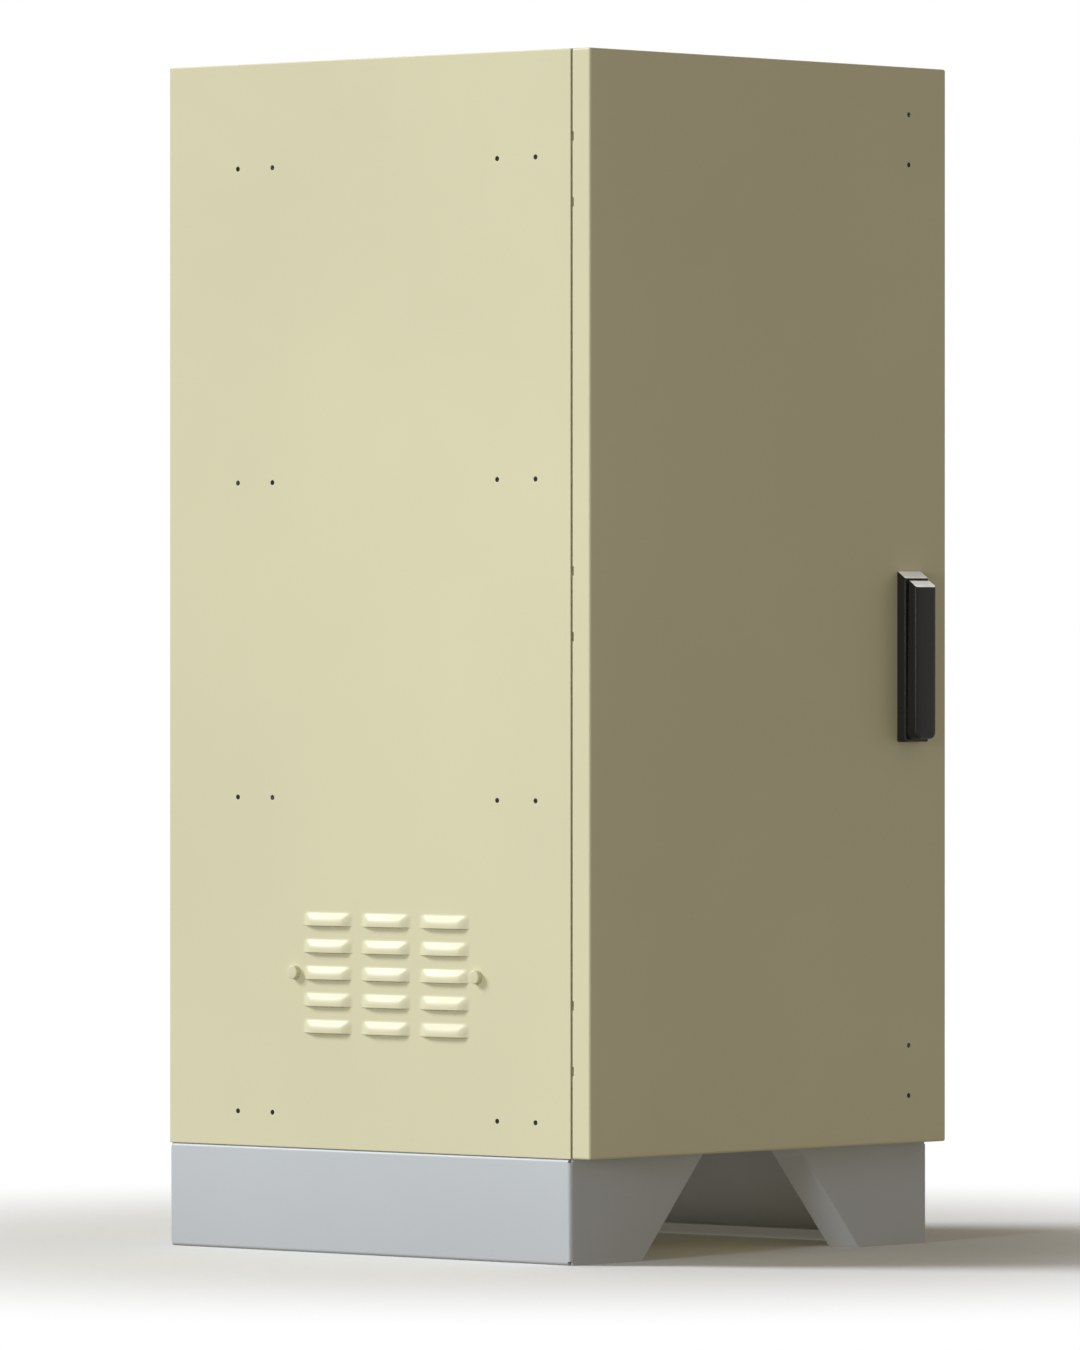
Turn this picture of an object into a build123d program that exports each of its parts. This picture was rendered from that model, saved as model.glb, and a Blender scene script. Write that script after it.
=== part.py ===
from build123d import *
import math
import os

# A floor-standing sheet-metal equipment cabinet: one hinged door with a swing handle and a
# rod lock, louvred side panel, rack rails inside, and a folded plinth under it.
# Millimetres. The origin is the middle of the plinth on the floor, +X to the right of the
# door, +Y to the rear, +Z up.

os.makedirs("parts", exist_ok=True)

# Overall sizes
cabinet_width = 600.0
cabinet_depth = 600.0
body_height = 1200.0
plinth_height = 115.0
sheet = 2.0
door_depth = 25.0
door_gap = 3.0

# Fits that several pieces share
cut_overrun = 4.0
fit_clearance = 0.1
running_clearance = 0.06
sliding_clearance = 0.4
right_angle = 90.0

# Body panels
lap_flange = 20.0
lap_setback = 26.0
frame_width = 36.0
rim_depth = 18.0

# Louvres and the two bolts beside them, in the left side panel
louvre_columns = 3
louvre_rows = 5
louvre_pitch_y = 87.0
louvre_pitch_z = 29.6
louvre_length = 70.0
louvre_height = 14.4
louvre_slope_height = 8.0
louvre_end_taper = 10.0
louvre_reach = 5.0
louvre_round = 2.5
louvre_wall = 1.5
vent_centre_y = -28.5
vent_centre_height = 194.0
vent_bolt_spacing = 271.0
vent_bolt_radius = 3.0
vent_head_radius = 7.5
vent_head_height = 7.0
vent_head_edge_radius = 1.0
vent_nut_width = 10.0
vent_nut_height = 5.0

# Filter behind the louvres
filter_margin = 6.0
filter_depth = 12.0
filter_sheet = 1.5
filter_lip = 10.0
filter_tab = 14.0

# Depth rails on the side walls, and the screws that hold them
rail_row_count = 4
first_row_height = 38.0
row_pitch = 348.7
rail_front_setback = 25.0
rail_rear_setback = 78.0
rail_foot = 30.0
rail_upstand = 30.0
rail_sheet = 2.0
front_screw_setback = 51.0
front_screw_spacing = 56.0
rear_screw_setback = 105.0
rear_screw_spacing = 52.5
screw_head_radius = 2.9
screw_shank_radius = 2.0
screw_length = 9.0

# Rack rails
rack_wall_gap = 50.0
rack_flange = 25.0
rack_web = 42.0
rack_sheet = 2.0
rack_hole_inset = 7.55
rack_hole = 9.5
rack_unit = 44.45
rack_unit_count = 24
rack_hole_heights = (6.35, 22.225, 38.1)
rack_length = 1082.0
rack_lift = 2.0
front_rack_setback = 57.0
rear_rack_setback = 112.0
rail_bolt_radius = 4.0
rail_bolt_head_width = 13.0
rail_bolt_head_height = 5.5
rail_bolt_length = 14.0

# Gland plate over the cable opening in the floor
gland_opening_width = 320.0
gland_opening_depth = 220.0
gland_margin = 22.0
gland_sheet = 2.0
gland_screw_radius = 2.5
gland_screw_head_radius = 4.5
gland_screw_head_height = 2.6
gland_screw_length = 9.0

# Plinth: one folded sheet under each side
plinth_sheet = 3.0
foot_top_width = 222.0
foot_bottom_width = 119.0
foot_flange = 40.0
plinth_flange = 46.0
plinth_lip = 12.0
fold_relief = 4.0
anchor_radius = 7.0
anchor_inset = 23.0
anchor_spacing_y = 480.0
plinth_bolt_spacing_y = 400.0
plinth_bolt_radius = 5.0
plinth_bolt_head_width = 17.0
plinth_bolt_head_height = 6.4
plinth_bolt_length = 20.0
plinth_nut_height = 8.0

# Door
door_edge_radius = 2.5
gasket_width = 14.0
stiffener_offset = 120.0
stiffener_width = 50.0
stiffener_depth = 14.0
stiffener_foot = 15.0
stiffener_sheet = 1.5
stiffener_end_gap = 70.0

# Hinges: a pin in the door's rear corner, carried by two ears that reach through notches
hinge_count = 3
hinge_spacing = 469.5
hinge_inset = 6.0
hinge_setback = 6.0
pin_radius = 2.0
pin_head_radius = 3.2
pin_head_height = 1.5
pin_tail = 1.5
knuckle_radius = 3.5
ear_spacing = 71.0
ear_height = 8.0
ear_gap = 0.5
ear_arm_reach = 1.2
leaf_start = 8.0
leaf_width = 20.0
leaf_thickness = 3.0
leaf_leg = 6.0
notch_depth = 1.5
notch_clearance = 1.0
door_leaf_offset = 0.5
door_leaf_sheet = 2.5
door_leaf_foot = 21.0
hinge_screw_spacing = 40.0
hinge_screw_radius = 2.5
hinge_screw_head_radius = 4.5
hinge_screw_head_height = 2.6
hinge_screw_length = 7.0

# Handle
lock_inset = 64.5
handle_width = 40.0
handle_length = 190.5
handle_drop = 152.4
housing_depth = 12.0
lever_width = 35.0
lever_depth = 14.1
lever_gap = 0.5
lever_end_gap = 3.0
handle_slope_share = 0.703
handle_edge_radius = 2.0
lever_edge_radius = 3.0
lever_corner_radius = 8.0
lever_lift = 20.0
lever_pin_rise = 20.0
lever_pin_setback = 4.5
lever_pin_radius = 1.6
lever_pin_length = 30.0
lug_radius = 3.0
lug_width = 10.0
spindle_radius = 6.0
spindle_head_radius = 11.0
spindle_head_depth = 6.9
pocket_clearance = 1.0
spindle_square = 8.0

# Rod lock inside the door
lock_case_width = 38.0
lock_case_height = 120.0
lock_case_depth = 40.0
lock_sheet = 2.0
crank_radius = 16.0
crank_thickness = 4.0
crank_throw = 11.0
crank_pin_radius = 2.5
crank_pin_play = 0.7
crank_rod_gap = 1.5
rod_width = 12.0
rod_thickness = 4.0
rod_setback = 31.5
rod_yoke_height = 38.0
rod_yoke_start = 1.5
rod_yoke_gap = 0.6
rod_end_gap = 1.0
guide_centre_inset = 81.0
guide_screw_spacing = 56.0
guide_width = 24.0
guide_height = 24.0
guide_foot_height = 70.0
guide_foot_depth = 5.0
guide_wall = 4.0
handle_screw_spacing = 56.0
handle_screw_radius = 2.5
handle_screw_head_radius = 4.5
handle_screw_head_height = 2.8
handle_screw_length = 9.0

# Places worked out from the sizes above
half_width = cabinet_width / 2
front = -cabinet_depth / 2
rear = cabinet_depth / 2
body_bottom = plinth_height
body_top = plinth_height + body_height
body_middle = (body_bottom + body_top) / 2
inner_half_width = half_width - sheet
floor_top = body_bottom + sheet
roof_under = body_top - sheet
door_rear = front - door_gap
door_front = door_rear - door_depth
door_skin = door_front + sheet
opening_half_width = inner_half_width - frame_width
opening_bottom = floor_top + frame_width
opening_top = roof_under - frame_width
rim_front = front - rim_depth
vent_centre_z = body_bottom + vent_centre_height
rail_rows = [body_bottom + first_row_height + row * row_pitch for row in range(rail_row_count)]
front_screw_y = front + front_screw_setback
rear_screw_y = rear - rear_screw_setback
screw_places_y = [
    front_screw_y,
    front_screw_y + front_screw_spacing,
    rear_screw_y - rear_screw_spacing,
    rear_screw_y,
]
rack_half_width = half_width - rack_wall_gap
rack_hole_x = rack_half_width - rack_flange + rack_hole_inset
rack_faces = {"front": front + front_rack_setback, "rear": rear - rear_rack_setback}
hinge_x = -half_width + hinge_inset
hinge_y = door_rear - hinge_setback
hinge_names = ("lower", "middle", "upper")
hinge_heights = [
    body_middle + (number - (hinge_count - 1) / 2) * hinge_spacing for number in range(hinge_count)
]
lock_x = half_width - lock_inset
lock_z = body_middle
rod_front = door_skin + rod_setback
rod_rear = rod_front + rod_thickness


def between(middle, size):
    """The span of a size that is centred on a middle."""
    return (middle - size / 2, middle + size / 2)


def inward(side, start, stop):
    """The X span between two distances from the outer face of the left (-1) or right (+1) wall."""
    return tuple(sorted((side * (half_width - start), side * (half_width - stop))))


def rearward(end, face, start, stop):
    """The Y span between two distances behind a face that looks to the front (-1) or rear (+1)."""
    return tuple(sorted((face - end * start, face - end * stop)))


def block(x_span, y_span, z_span, mode=Mode.ADD):
    """A rectangular block between two corners, in the part that is being built."""
    spans = (x_span, y_span, z_span)
    with Locations(tuple((low + high) / 2 for low, high in spans)):
        Box(*(high - low for low, high in spans), mode=mode)


def round_bar(axis, span, across, radius, mode=Mode.ADD):
    """A cylinder along x, y or z over a span; across is its place on the other two axes."""
    middle = sum(span) / 2
    centres = {
        "x": (middle, *across),
        "y": (across[0], middle, across[1]),
        "z": (*across, middle),
    }
    turns = {"x": (0, right_angle, 0), "y": (right_angle, 0, 0), "z": (0, 0, 0)}
    with Locations(centres[axis]):
        Cylinder(radius, span[1] - span[0], rotation=turns[axis], mode=mode)


def headed_screw(seat, head_radius, head_height, radius, length):
    """A round-headed screw on a seat plane: the head stands out along its normal."""
    with Locations(seat):
        Cylinder(head_radius, head_height, align=(Align.CENTER, Align.CENTER, Align.MIN))
        Cylinder(radius, length, align=(Align.CENTER, Align.CENTER, Align.MAX))


def countersunk_screw(seat, head_radius, radius, length):
    """A screw whose cone-shaped head lies flush with the seat plane."""
    with Locations(seat):
        Cone(
            radius,
            head_radius,
            head_radius - radius,
            align=(Align.CENTER, Align.CENTER, Align.MAX),
        )
        Cylinder(radius, length, align=(Align.CENTER, Align.CENTER, Align.MAX))


def hexagon_bolt(seat, head_width, head_height, radius, length):
    """A hexagon-headed bolt on a seat plane: the head stands out along its normal."""
    with BuildPart() as bolt:
        with BuildSketch(seat):
            RegularPolygon(head_width / 2, 6, major_radius=False)
        extrude(amount=head_height)
        with Locations(seat):
            Cylinder(radius, length, align=(Align.CENTER, Align.CENTER, Align.MAX))
    return bolt.part


def hexagon_nut(seat, width, height, radius):
    """A hexagon nut on a seat plane, with its hole."""
    with BuildPart() as nut:
        with BuildSketch(seat):
            RegularPolygon(width / 2, 6, major_radius=False)
            Circle(radius + fit_clearance, mode=Mode.SUBTRACT)
        extrude(amount=height)
    return nut.part


def save(piece, name):
    """Labels a finished piece and writes it."""
    piece.part.label = name
    export_step(piece.part, f"parts/{name}.step")


# One louvre, pressed outwards from the panel: a hood with a sloped top, tapered ends and an
# open underside, and the hollow that is cut from it and from the panel behind it.
louvre_flat_height = louvre_height - louvre_slope_height
louvre_flat_middle = (louvre_flat_height - louvre_height) / 2
with BuildPart() as louvre_hood:
    with BuildSketch(Plane.YZ.offset(-half_width)):
        Rectangle(louvre_length, louvre_height)
    with BuildSketch(Plane.YZ.offset(-half_width - louvre_reach)):
        with Locations((0, louvre_flat_middle)):
            Rectangle(louvre_length - 2 * louvre_end_taper, louvre_flat_height)
    loft()
    underside = louvre_hood.faces().sort_by(Axis.Z)[0]
    wall_face = louvre_hood.faces().sort_by(Axis.X)[-1]
    plain_edges = underside.edges() + wall_face.edges()
    rounded_edges = [edge for edge in louvre_hood.edges() if edge not in plain_edges]
    fillet(rounded_edges, louvre_round)

with BuildPart() as louvre_hollow:
    with BuildSketch(Plane.YZ.offset(-half_width + sheet + cut_overrun)):
        with Locations((0, -louvre_wall / 2)):
            Rectangle(louvre_length - 2 * louvre_wall, louvre_height - louvre_wall)
    with BuildSketch(Plane.YZ.offset(-half_width)):
        with Locations((0, -louvre_wall / 2)):
            Rectangle(louvre_length - 2 * louvre_wall, louvre_height - louvre_wall)
    loft(ruled=True)
    with BuildSketch(Plane.YZ.offset(-half_width)):
        with Locations((0, -louvre_wall / 2)):
            Rectangle(louvre_length - 2 * louvre_wall, louvre_height - louvre_wall)
    with BuildSketch(Plane.YZ.offset(-half_width - louvre_reach + louvre_wall)):
        with Locations((0, louvre_flat_middle - louvre_wall / 2)):
            Rectangle(
                louvre_length - 2 * louvre_end_taper - 2 * louvre_wall,
                louvre_flat_height - louvre_wall,
            )
    loft()

vent_bolt_places = [
    (vent_centre_y + side * vent_bolt_spacing / 2, vent_centre_z) for side in (-1, 1)
]
louvre_places = [
    (
        0,
        vent_centre_y + (column - (louvre_columns - 1) / 2) * louvre_pitch_y,
        vent_centre_z + (row - (louvre_rows - 1) / 2) * louvre_pitch_z,
    )
    for column in range(louvre_columns)
    for row in range(louvre_rows)
]


def wall_seats(side):
    """The planes of the rail screws on the outer face of a side wall."""
    return [
        Plane(origin=(side * half_width, y, z), x_dir=(0, 1, 0), z_dir=(side, 0, 0))
        for y in screw_places_y
        for z in rail_rows
    ]


def side_panel(side):
    """A flat side wall with its countersunk rail screw holes."""
    with BuildPart() as panel:
        block(inward(side, 0, sheet), (front, rear), (body_bottom, body_top))
        with Locations(*wall_seats(side)):
            CounterSinkHole(
                screw_shank_radius + fit_clearance,
                screw_head_radius + fit_clearance,
                sheet + cut_overrun,
                counter_sink_angle=right_angle,
            )
    return panel


# Side panels: the left one carries the louvres and the two vent bolts
with BuildPart() as left_side_panel:
    add(side_panel(-1).part)
    with Locations(louvre_places):
        add(louvre_hood.part)
    with Locations(louvre_places):
        add(louvre_hollow.part, mode=Mode.SUBTRACT)
    for place in vent_bolt_places:
        hole_span = inward(-1, -cut_overrun, sheet + cut_overrun)
        round_bar("x", hole_span, place, vent_bolt_radius + fit_clearance, Mode.SUBTRACT)
save(left_side_panel, "left_side_panel")
save(side_panel(1), "right_side_panel")

# Rear panel: a pan whose side flanges lap the side panels
lap_span = (body_bottom + lap_setback, body_top - lap_setback)
with BuildPart() as rear_panel:
    block((-inner_half_width, inner_half_width), (rear - sheet, rear), (body_bottom, body_top))
    for side in (-1, 1):
        block(inward(side, sheet, 2 * sheet), (rear - sheet - lap_flange, rear - sheet), lap_span)
save(rear_panel, "rear_panel")

# Roof and floor: pans between the side panels, flush with their edges
lap_depth_span = (front + lap_setback, rear - lap_setback)
floor_z = (body_bottom, floor_top)
roof_z = (roof_under, body_top)
pan_depth_span = (front, rear - sheet)


def lap_flanges(z_span):
    """The flanges of the roof or the floor along the side panels and the rear panel."""
    for side in (-1, 1):
        block(inward(side, sheet, 2 * sheet), lap_depth_span, z_span)
    rear_span = inner_half_width - lap_setback
    block((-rear_span, rear_span), (rear - 2 * sheet, rear - sheet), z_span)


with BuildPart() as roof_panel:
    block((-inner_half_width, inner_half_width), pan_depth_span, roof_z)
    lap_flanges((roof_under - lap_flange, roof_under))
save(roof_panel, "roof_panel")

plinth_bolt_x = half_width - anchor_inset
plinth_bolt_places = [
    (side * plinth_bolt_x, end * plinth_bolt_spacing_y / 2) for side in (-1, 1) for end in (-1, 1)
]
gland_half_width = gland_opening_width / 2 + gland_margin
gland_half_depth = gland_opening_depth / 2 + gland_margin
gland_screw_places = [
    (column * (gland_half_width - gland_margin / 2), row * (gland_half_depth - gland_margin / 2))
    for column in (-1, 0, 1)
    for row in (-1, 1)
]
with BuildPart() as floor_panel:
    block((-inner_half_width, inner_half_width), pan_depth_span, floor_z)
    lap_flanges((floor_top, floor_top + lap_flange))
    floor_cut = (body_bottom - cut_overrun, floor_top + cut_overrun)
    block(between(0, gland_opening_width), between(0, gland_opening_depth), floor_cut, Mode.SUBTRACT)
    for place in plinth_bolt_places:
        round_bar("z", floor_cut, place, plinth_bolt_radius + fit_clearance, Mode.SUBTRACT)
    for place in gland_screw_places:
        round_bar("z", floor_cut, place, gland_screw_radius + fit_clearance, Mode.SUBTRACT)
save(floor_panel, "floor_panel")

# Gland plate and its screws
gland_top = floor_top + gland_sheet
with BuildPart() as gland_plate:
    block(
        (-gland_half_width, gland_half_width),
        (-gland_half_depth, gland_half_depth),
        (floor_top, gland_top),
    )
    gland_cut = (floor_top - cut_overrun, gland_top + cut_overrun)
    for place in gland_screw_places:
        round_bar("z", gland_cut, place, gland_screw_radius + fit_clearance, Mode.SUBTRACT)
save(gland_plate, "gland_plate")

with BuildPart() as gland_plate_screws:
    for place in gland_screw_places:
        headed_screw(
            Plane.XY.offset(gland_top).move(Location((*place, 0))),
            gland_screw_head_radius,
            gland_screw_head_height,
            gland_screw_radius,
            gland_screw_length,
        )
save(gland_plate_screws, "gland_plate_screws")

# Front frame: a welded ring behind the door, with a sealing rim round the opening
hinge_screw_x = hinge_x + leaf_start + leaf_width / 2
hinge_screw_places = [
    (hinge_screw_x, height + side * hinge_screw_spacing / 2)
    for height in hinge_heights
    for side in (-1, 1)
]
with BuildPart() as front_frame:
    block((-inner_half_width, inner_half_width), (front, front + sheet), (floor_top, roof_under))
    block(
        between(0, 2 * (opening_half_width + sheet)),
        (rim_front, front),
        (opening_bottom - sheet, opening_top + sheet),
    )
    frame_cut = (rim_front - cut_overrun, front + sheet + cut_overrun)
    block(
        (-opening_half_width, opening_half_width),
        frame_cut,
        (opening_bottom, opening_top),
        Mode.SUBTRACT,
    )
    for place in hinge_screw_places:
        round_bar("y", frame_cut, place, hinge_screw_radius + fit_clearance, Mode.SUBTRACT)
save(front_frame, "front_frame")


# Plinth: under each side a folded sheet with a web, flanges above and below, and a tapered
# foot at each end whose slanted edge is folded back.
foot_slope_angle = math.degrees(math.atan2(foot_top_width - foot_bottom_width, plinth_height))
foot_slope_length = math.hypot(foot_top_width - foot_bottom_width, plinth_height)
anchor_places_y = [end * anchor_spacing_y / 2 for end in (-1, 1)]


def plinth_side(side):
    """The plinth sheet under the left (-1) or right (+1) side."""
    web_y = (front + plinth_sheet, rear - plinth_sheet)
    with BuildPart() as plinth:
        block(inward(side, 0, plinth_sheet), (front, rear), (0, plinth_height))
        block(inward(side, 0, plinth_flange), web_y, (0, plinth_sheet))
        block(inward(side, 0, plinth_flange), web_y, (plinth_height - plinth_sheet, plinth_height))
        lip_x = inward(side, plinth_flange - plinth_sheet, plinth_flange)
        block(lip_x, web_y, (0, plinth_lip))
        for end, foot_plane in ((-1, Plane.XZ.offset(-front)), (1, Plane.XZ.offset(-rear + plinth_sheet))):
            with BuildSketch(foot_plane):
                with BuildLine():
                    Polyline(
                        (side * half_width, 0),
                        (side * (half_width - foot_bottom_width), 0),
                        (side * (half_width - foot_top_width), plinth_height),
                        (side * half_width, plinth_height),
                        close=True,
                    )
                make_face()
            extrude(amount=-plinth_sheet)
            flange_y = rearward(end, end * rear, plinth_sheet, plinth_sheet + foot_flange)
            slope_normal = (
                -side * math.cos(math.radians(foot_slope_angle)),
                0,
                -math.sin(math.radians(foot_slope_angle)),
            )
            slope_plane = Plane(
                origin=(
                    side * (half_width - (foot_bottom_width + foot_top_width) / 2),
                    sum(flange_y) / 2,
                    plinth_height / 2,
                ),
                x_dir=(0, 1, 0),
                z_dir=slope_normal,
            )
            with BuildSketch(slope_plane):
                Rectangle(foot_flange, foot_slope_length)
            extrude(amount=-plinth_sheet)
        floor_limit = 2 * half_width
        block((-floor_limit, floor_limit), (2 * front, 2 * rear), (-plinth_height, 0), Mode.SUBTRACT)
        block(
            (-floor_limit, floor_limit),
            (2 * front, 2 * rear),
            (plinth_height, 2 * plinth_height),
            Mode.SUBTRACT,
        )
        for end in (-1, 1):
            relief_y = rearward(end, end * rear, -cut_overrun, fold_relief)
            for level in (0, plinth_height):
                relief_x = inward(side, -cut_overrun, fold_relief)
                block(relief_x, relief_y, between(level, 2 * fold_relief), Mode.SUBTRACT)
        for y in anchor_places_y:
            anchor_cut = (-cut_overrun, plinth_sheet + cut_overrun)
            round_bar("z", anchor_cut, (side * plinth_bolt_x, y), anchor_radius, Mode.SUBTRACT)
        for place in plinth_bolt_places:
            bolt_cut = (plinth_height - plinth_sheet - cut_overrun, plinth_height + cut_overrun)
            if place[0] * side > 0:
                round_bar("z", bolt_cut, place, plinth_bolt_radius + fit_clearance, Mode.SUBTRACT)
    return plinth


save(plinth_side(-1), "plinth_left")
save(plinth_side(1), "plinth_right")

with BuildPart() as plinth_bolts:
    for place in plinth_bolt_places:
        add(
            hexagon_bolt(
                Plane(origin=(*place, floor_top), z_dir=(0, 0, 1)),
                plinth_bolt_head_width,
                plinth_bolt_head_height,
                plinth_bolt_radius,
                plinth_bolt_length,
            )
        )
save(plinth_bolts, "plinth_bolts")

with BuildPart() as plinth_nuts:
    for place in plinth_bolt_places:
        add(
            hexagon_nut(
                Plane(origin=(*place, plinth_height - plinth_sheet), z_dir=(0, 0, -1)),
                plinth_bolt_head_width,
                plinth_nut_height,
                plinth_bolt_radius,
            )
        )
save(plinth_nuts, "plinth_nuts")


# Vent bolts, their nuts, and the filter that they hold over the louvres
filter_y = between(vent_centre_y, (louvre_columns - 1) * louvre_pitch_y + louvre_length + 2 * filter_margin)
filter_z = between(vent_centre_z, (louvre_rows - 1) * louvre_pitch_z + louvre_height + 2 * filter_margin)
filter_flange_z = between(vent_centre_z, filter_z[1] - filter_z[0] + 2 * filter_margin)
filter_wall_x = inward(-1, sheet, sheet + filter_depth)


def widened(span, amount):
    """A span that is longer by an amount at each end."""
    return (span[0] - amount, span[1] + amount)


with BuildPart() as filter_frame:
    flange_y = between(vent_centre_y, vent_bolt_spacing + 2 * filter_tab)
    block(inward(-1, sheet, sheet + filter_sheet), flange_y, filter_flange_z)
    block(filter_wall_x, widened(filter_y, filter_sheet), widened(filter_z, filter_sheet))
    mat_room = inward(-1, sheet - cut_overrun, sheet + filter_depth - filter_sheet)
    block(mat_room, filter_y, filter_z, Mode.SUBTRACT)
    window_x = inward(-1, sheet, sheet + filter_depth + cut_overrun)
    block(window_x, widened(filter_y, -filter_lip), widened(filter_z, -filter_lip), Mode.SUBTRACT)
    for place in vent_bolt_places:
        hole_span = inward(-1, sheet - cut_overrun, sheet + filter_sheet + cut_overrun)
        round_bar("x", hole_span, place, vent_bolt_radius + fit_clearance, Mode.SUBTRACT)
save(filter_frame, "filter_frame")

with BuildPart() as filter_mat:
    mat_x = inward(-1, sheet + fit_clearance, sheet + filter_depth - filter_sheet - fit_clearance)
    block(mat_x, widened(filter_y, -fit_clearance), widened(filter_z, -fit_clearance))
save(filter_mat, "filter_mat")

vent_bolt_length = sheet + filter_sheet + vent_nut_height + sheet
with BuildPart() as vent_bolts:
    for place in vent_bolt_places:
        round_bar("x", inward(-1, -vent_head_height, 0), place, vent_head_radius)
        round_bar("x", inward(-1, 0, vent_bolt_length), place, vent_bolt_radius)
    fillet(vent_bolts.edges().filter_by(GeomType.CIRCLE).group_by(Axis.X)[0], vent_head_edge_radius)
save(vent_bolts, "vent_bolts")

with BuildPart() as vent_nuts:
    for place in vent_bolt_places:
        add(
            hexagon_nut(
                Plane(origin=(-half_width + sheet + filter_sheet, *place), z_dir=(1, 0, 0)),
                vent_nut_width,
                vent_nut_height,
                vent_bolt_radius,
            )
        )
save(vent_nuts, "vent_nuts")

# Depth rails: folded Z sections on the side walls, which carry the rack rails
rail_span_y = (front + rail_front_setback, rear - rail_rear_setback)
rail_bolt_places_y = {
    "front": rack_faces["front"] + rack_web / 2,
    "rear": rack_faces["rear"] - rack_web / 2,
}
sides = {"left": -1, "right": 1}


def shelf_top(row):
    """The top of a depth rail's shelf."""
    return row + rail_foot / 2


def depth_rail(side, row):
    """A depth rail: a foot on the wall, a shelf, and an upstand beside the rack rails."""
    with BuildPart() as rail:
        block(inward(side, sheet, sheet + rail_sheet), rail_span_y, between(row, rail_foot))
        block(
            inward(side, sheet, rack_wall_gap),
            rail_span_y,
            (shelf_top(row) - rail_sheet, shelf_top(row)),
        )
        upstand_z = (shelf_top(row) - rail_sheet, shelf_top(row) + rail_upstand)
        block(inward(side, rack_wall_gap - rail_sheet, rack_wall_gap), rail_span_y, upstand_z)
        for y in screw_places_y:
            hole_span = inward(side, sheet - cut_overrun, sheet + rail_sheet + cut_overrun)
            round_bar("x", hole_span, (y, row), screw_shank_radius + fit_clearance, Mode.SUBTRACT)
        for y in rail_bolt_places_y.values():
            hole_span = inward(side, rack_wall_gap - rail_sheet - cut_overrun, rack_wall_gap + cut_overrun)
            bolt_place = (y, shelf_top(row) + rail_upstand / 2)
            round_bar("x", hole_span, bolt_place, rail_bolt_radius + fit_clearance, Mode.SUBTRACT)
    return rail


for side_name, side in sides.items():
    for number, row in enumerate(rail_rows, 1):
        save(depth_rail(side, row), f"depth_rail_{side_name}_{number}")

for side_name, side in sides.items():
    with BuildPart() as rail_screws:
        for seat in wall_seats(side):
            countersunk_screw(seat, screw_head_radius, screw_shank_radius, screw_length)
    save(rail_screws, f"rail_screws_{side_name}")

# Rack rails: angle sections with square holes, three to each rack unit
rack_bottom = shelf_top(rail_rows[0]) + rack_lift
rack_span_z = (rack_bottom, rack_bottom + rack_length)
first_unit = sum(rack_span_z) / 2 - rack_unit_count * rack_unit / 2
rack_hole_levels = [
    first_unit + unit * rack_unit + height
    for unit in range(rack_unit_count)
    for height in rack_hole_heights
]


def rack_rail(side, end_name):
    """A rack rail: a drilled flange to the front or rear, and a web along the depth rails."""
    end = -1 if end_name == "front" else 1
    face = rack_faces[end_name]
    with BuildPart() as rail:
        flange_x = inward(side, rack_wall_gap, rack_wall_gap + rack_flange)
        block(flange_x, rearward(end, face, 0, rack_sheet), rack_span_z)
        web_x = inward(side, rack_wall_gap, rack_wall_gap + rack_sheet)
        block(web_x, rearward(end, face, 0, rack_web), rack_span_z)
        hole_y = face - end * rack_sheet / 2
        with Locations([(side * rack_hole_x, hole_y, level) for level in rack_hole_levels]):
            Box(rack_hole, rack_sheet + cut_overrun, rack_hole, mode=Mode.SUBTRACT)
        for row in rail_rows:
            hole_span = inward(side, rack_wall_gap - cut_overrun, rack_wall_gap + rack_sheet + cut_overrun)
            bolt_place = (rail_bolt_places_y[end_name], shelf_top(row) + rail_upstand / 2)
            round_bar("x", hole_span, bolt_place, rail_bolt_radius + fit_clearance, Mode.SUBTRACT)
    return rail


for end_name in rack_faces:
    for side_name, side in sides.items():
        save(rack_rail(side, end_name), f"rack_rail_{end_name}_{side_name}")

with BuildPart() as rail_bolts:
    for side in sides.values():
        for y in rail_bolt_places_y.values():
            for row in rail_rows:
                bolt_seat = Plane(
                    origin=(
                        side * (rack_half_width + rail_sheet),
                        y,
                        shelf_top(row) + rail_upstand / 2,
                    ),
                    z_dir=(side, 0, 0),
                )
                add(
                    hexagon_bolt(
                        bolt_seat,
                        rail_bolt_head_width,
                        rail_bolt_head_height,
                        rail_bolt_radius,
                        rail_bolt_length,
                    )
                )
save(rail_bolts, "rail_bolts")

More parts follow.
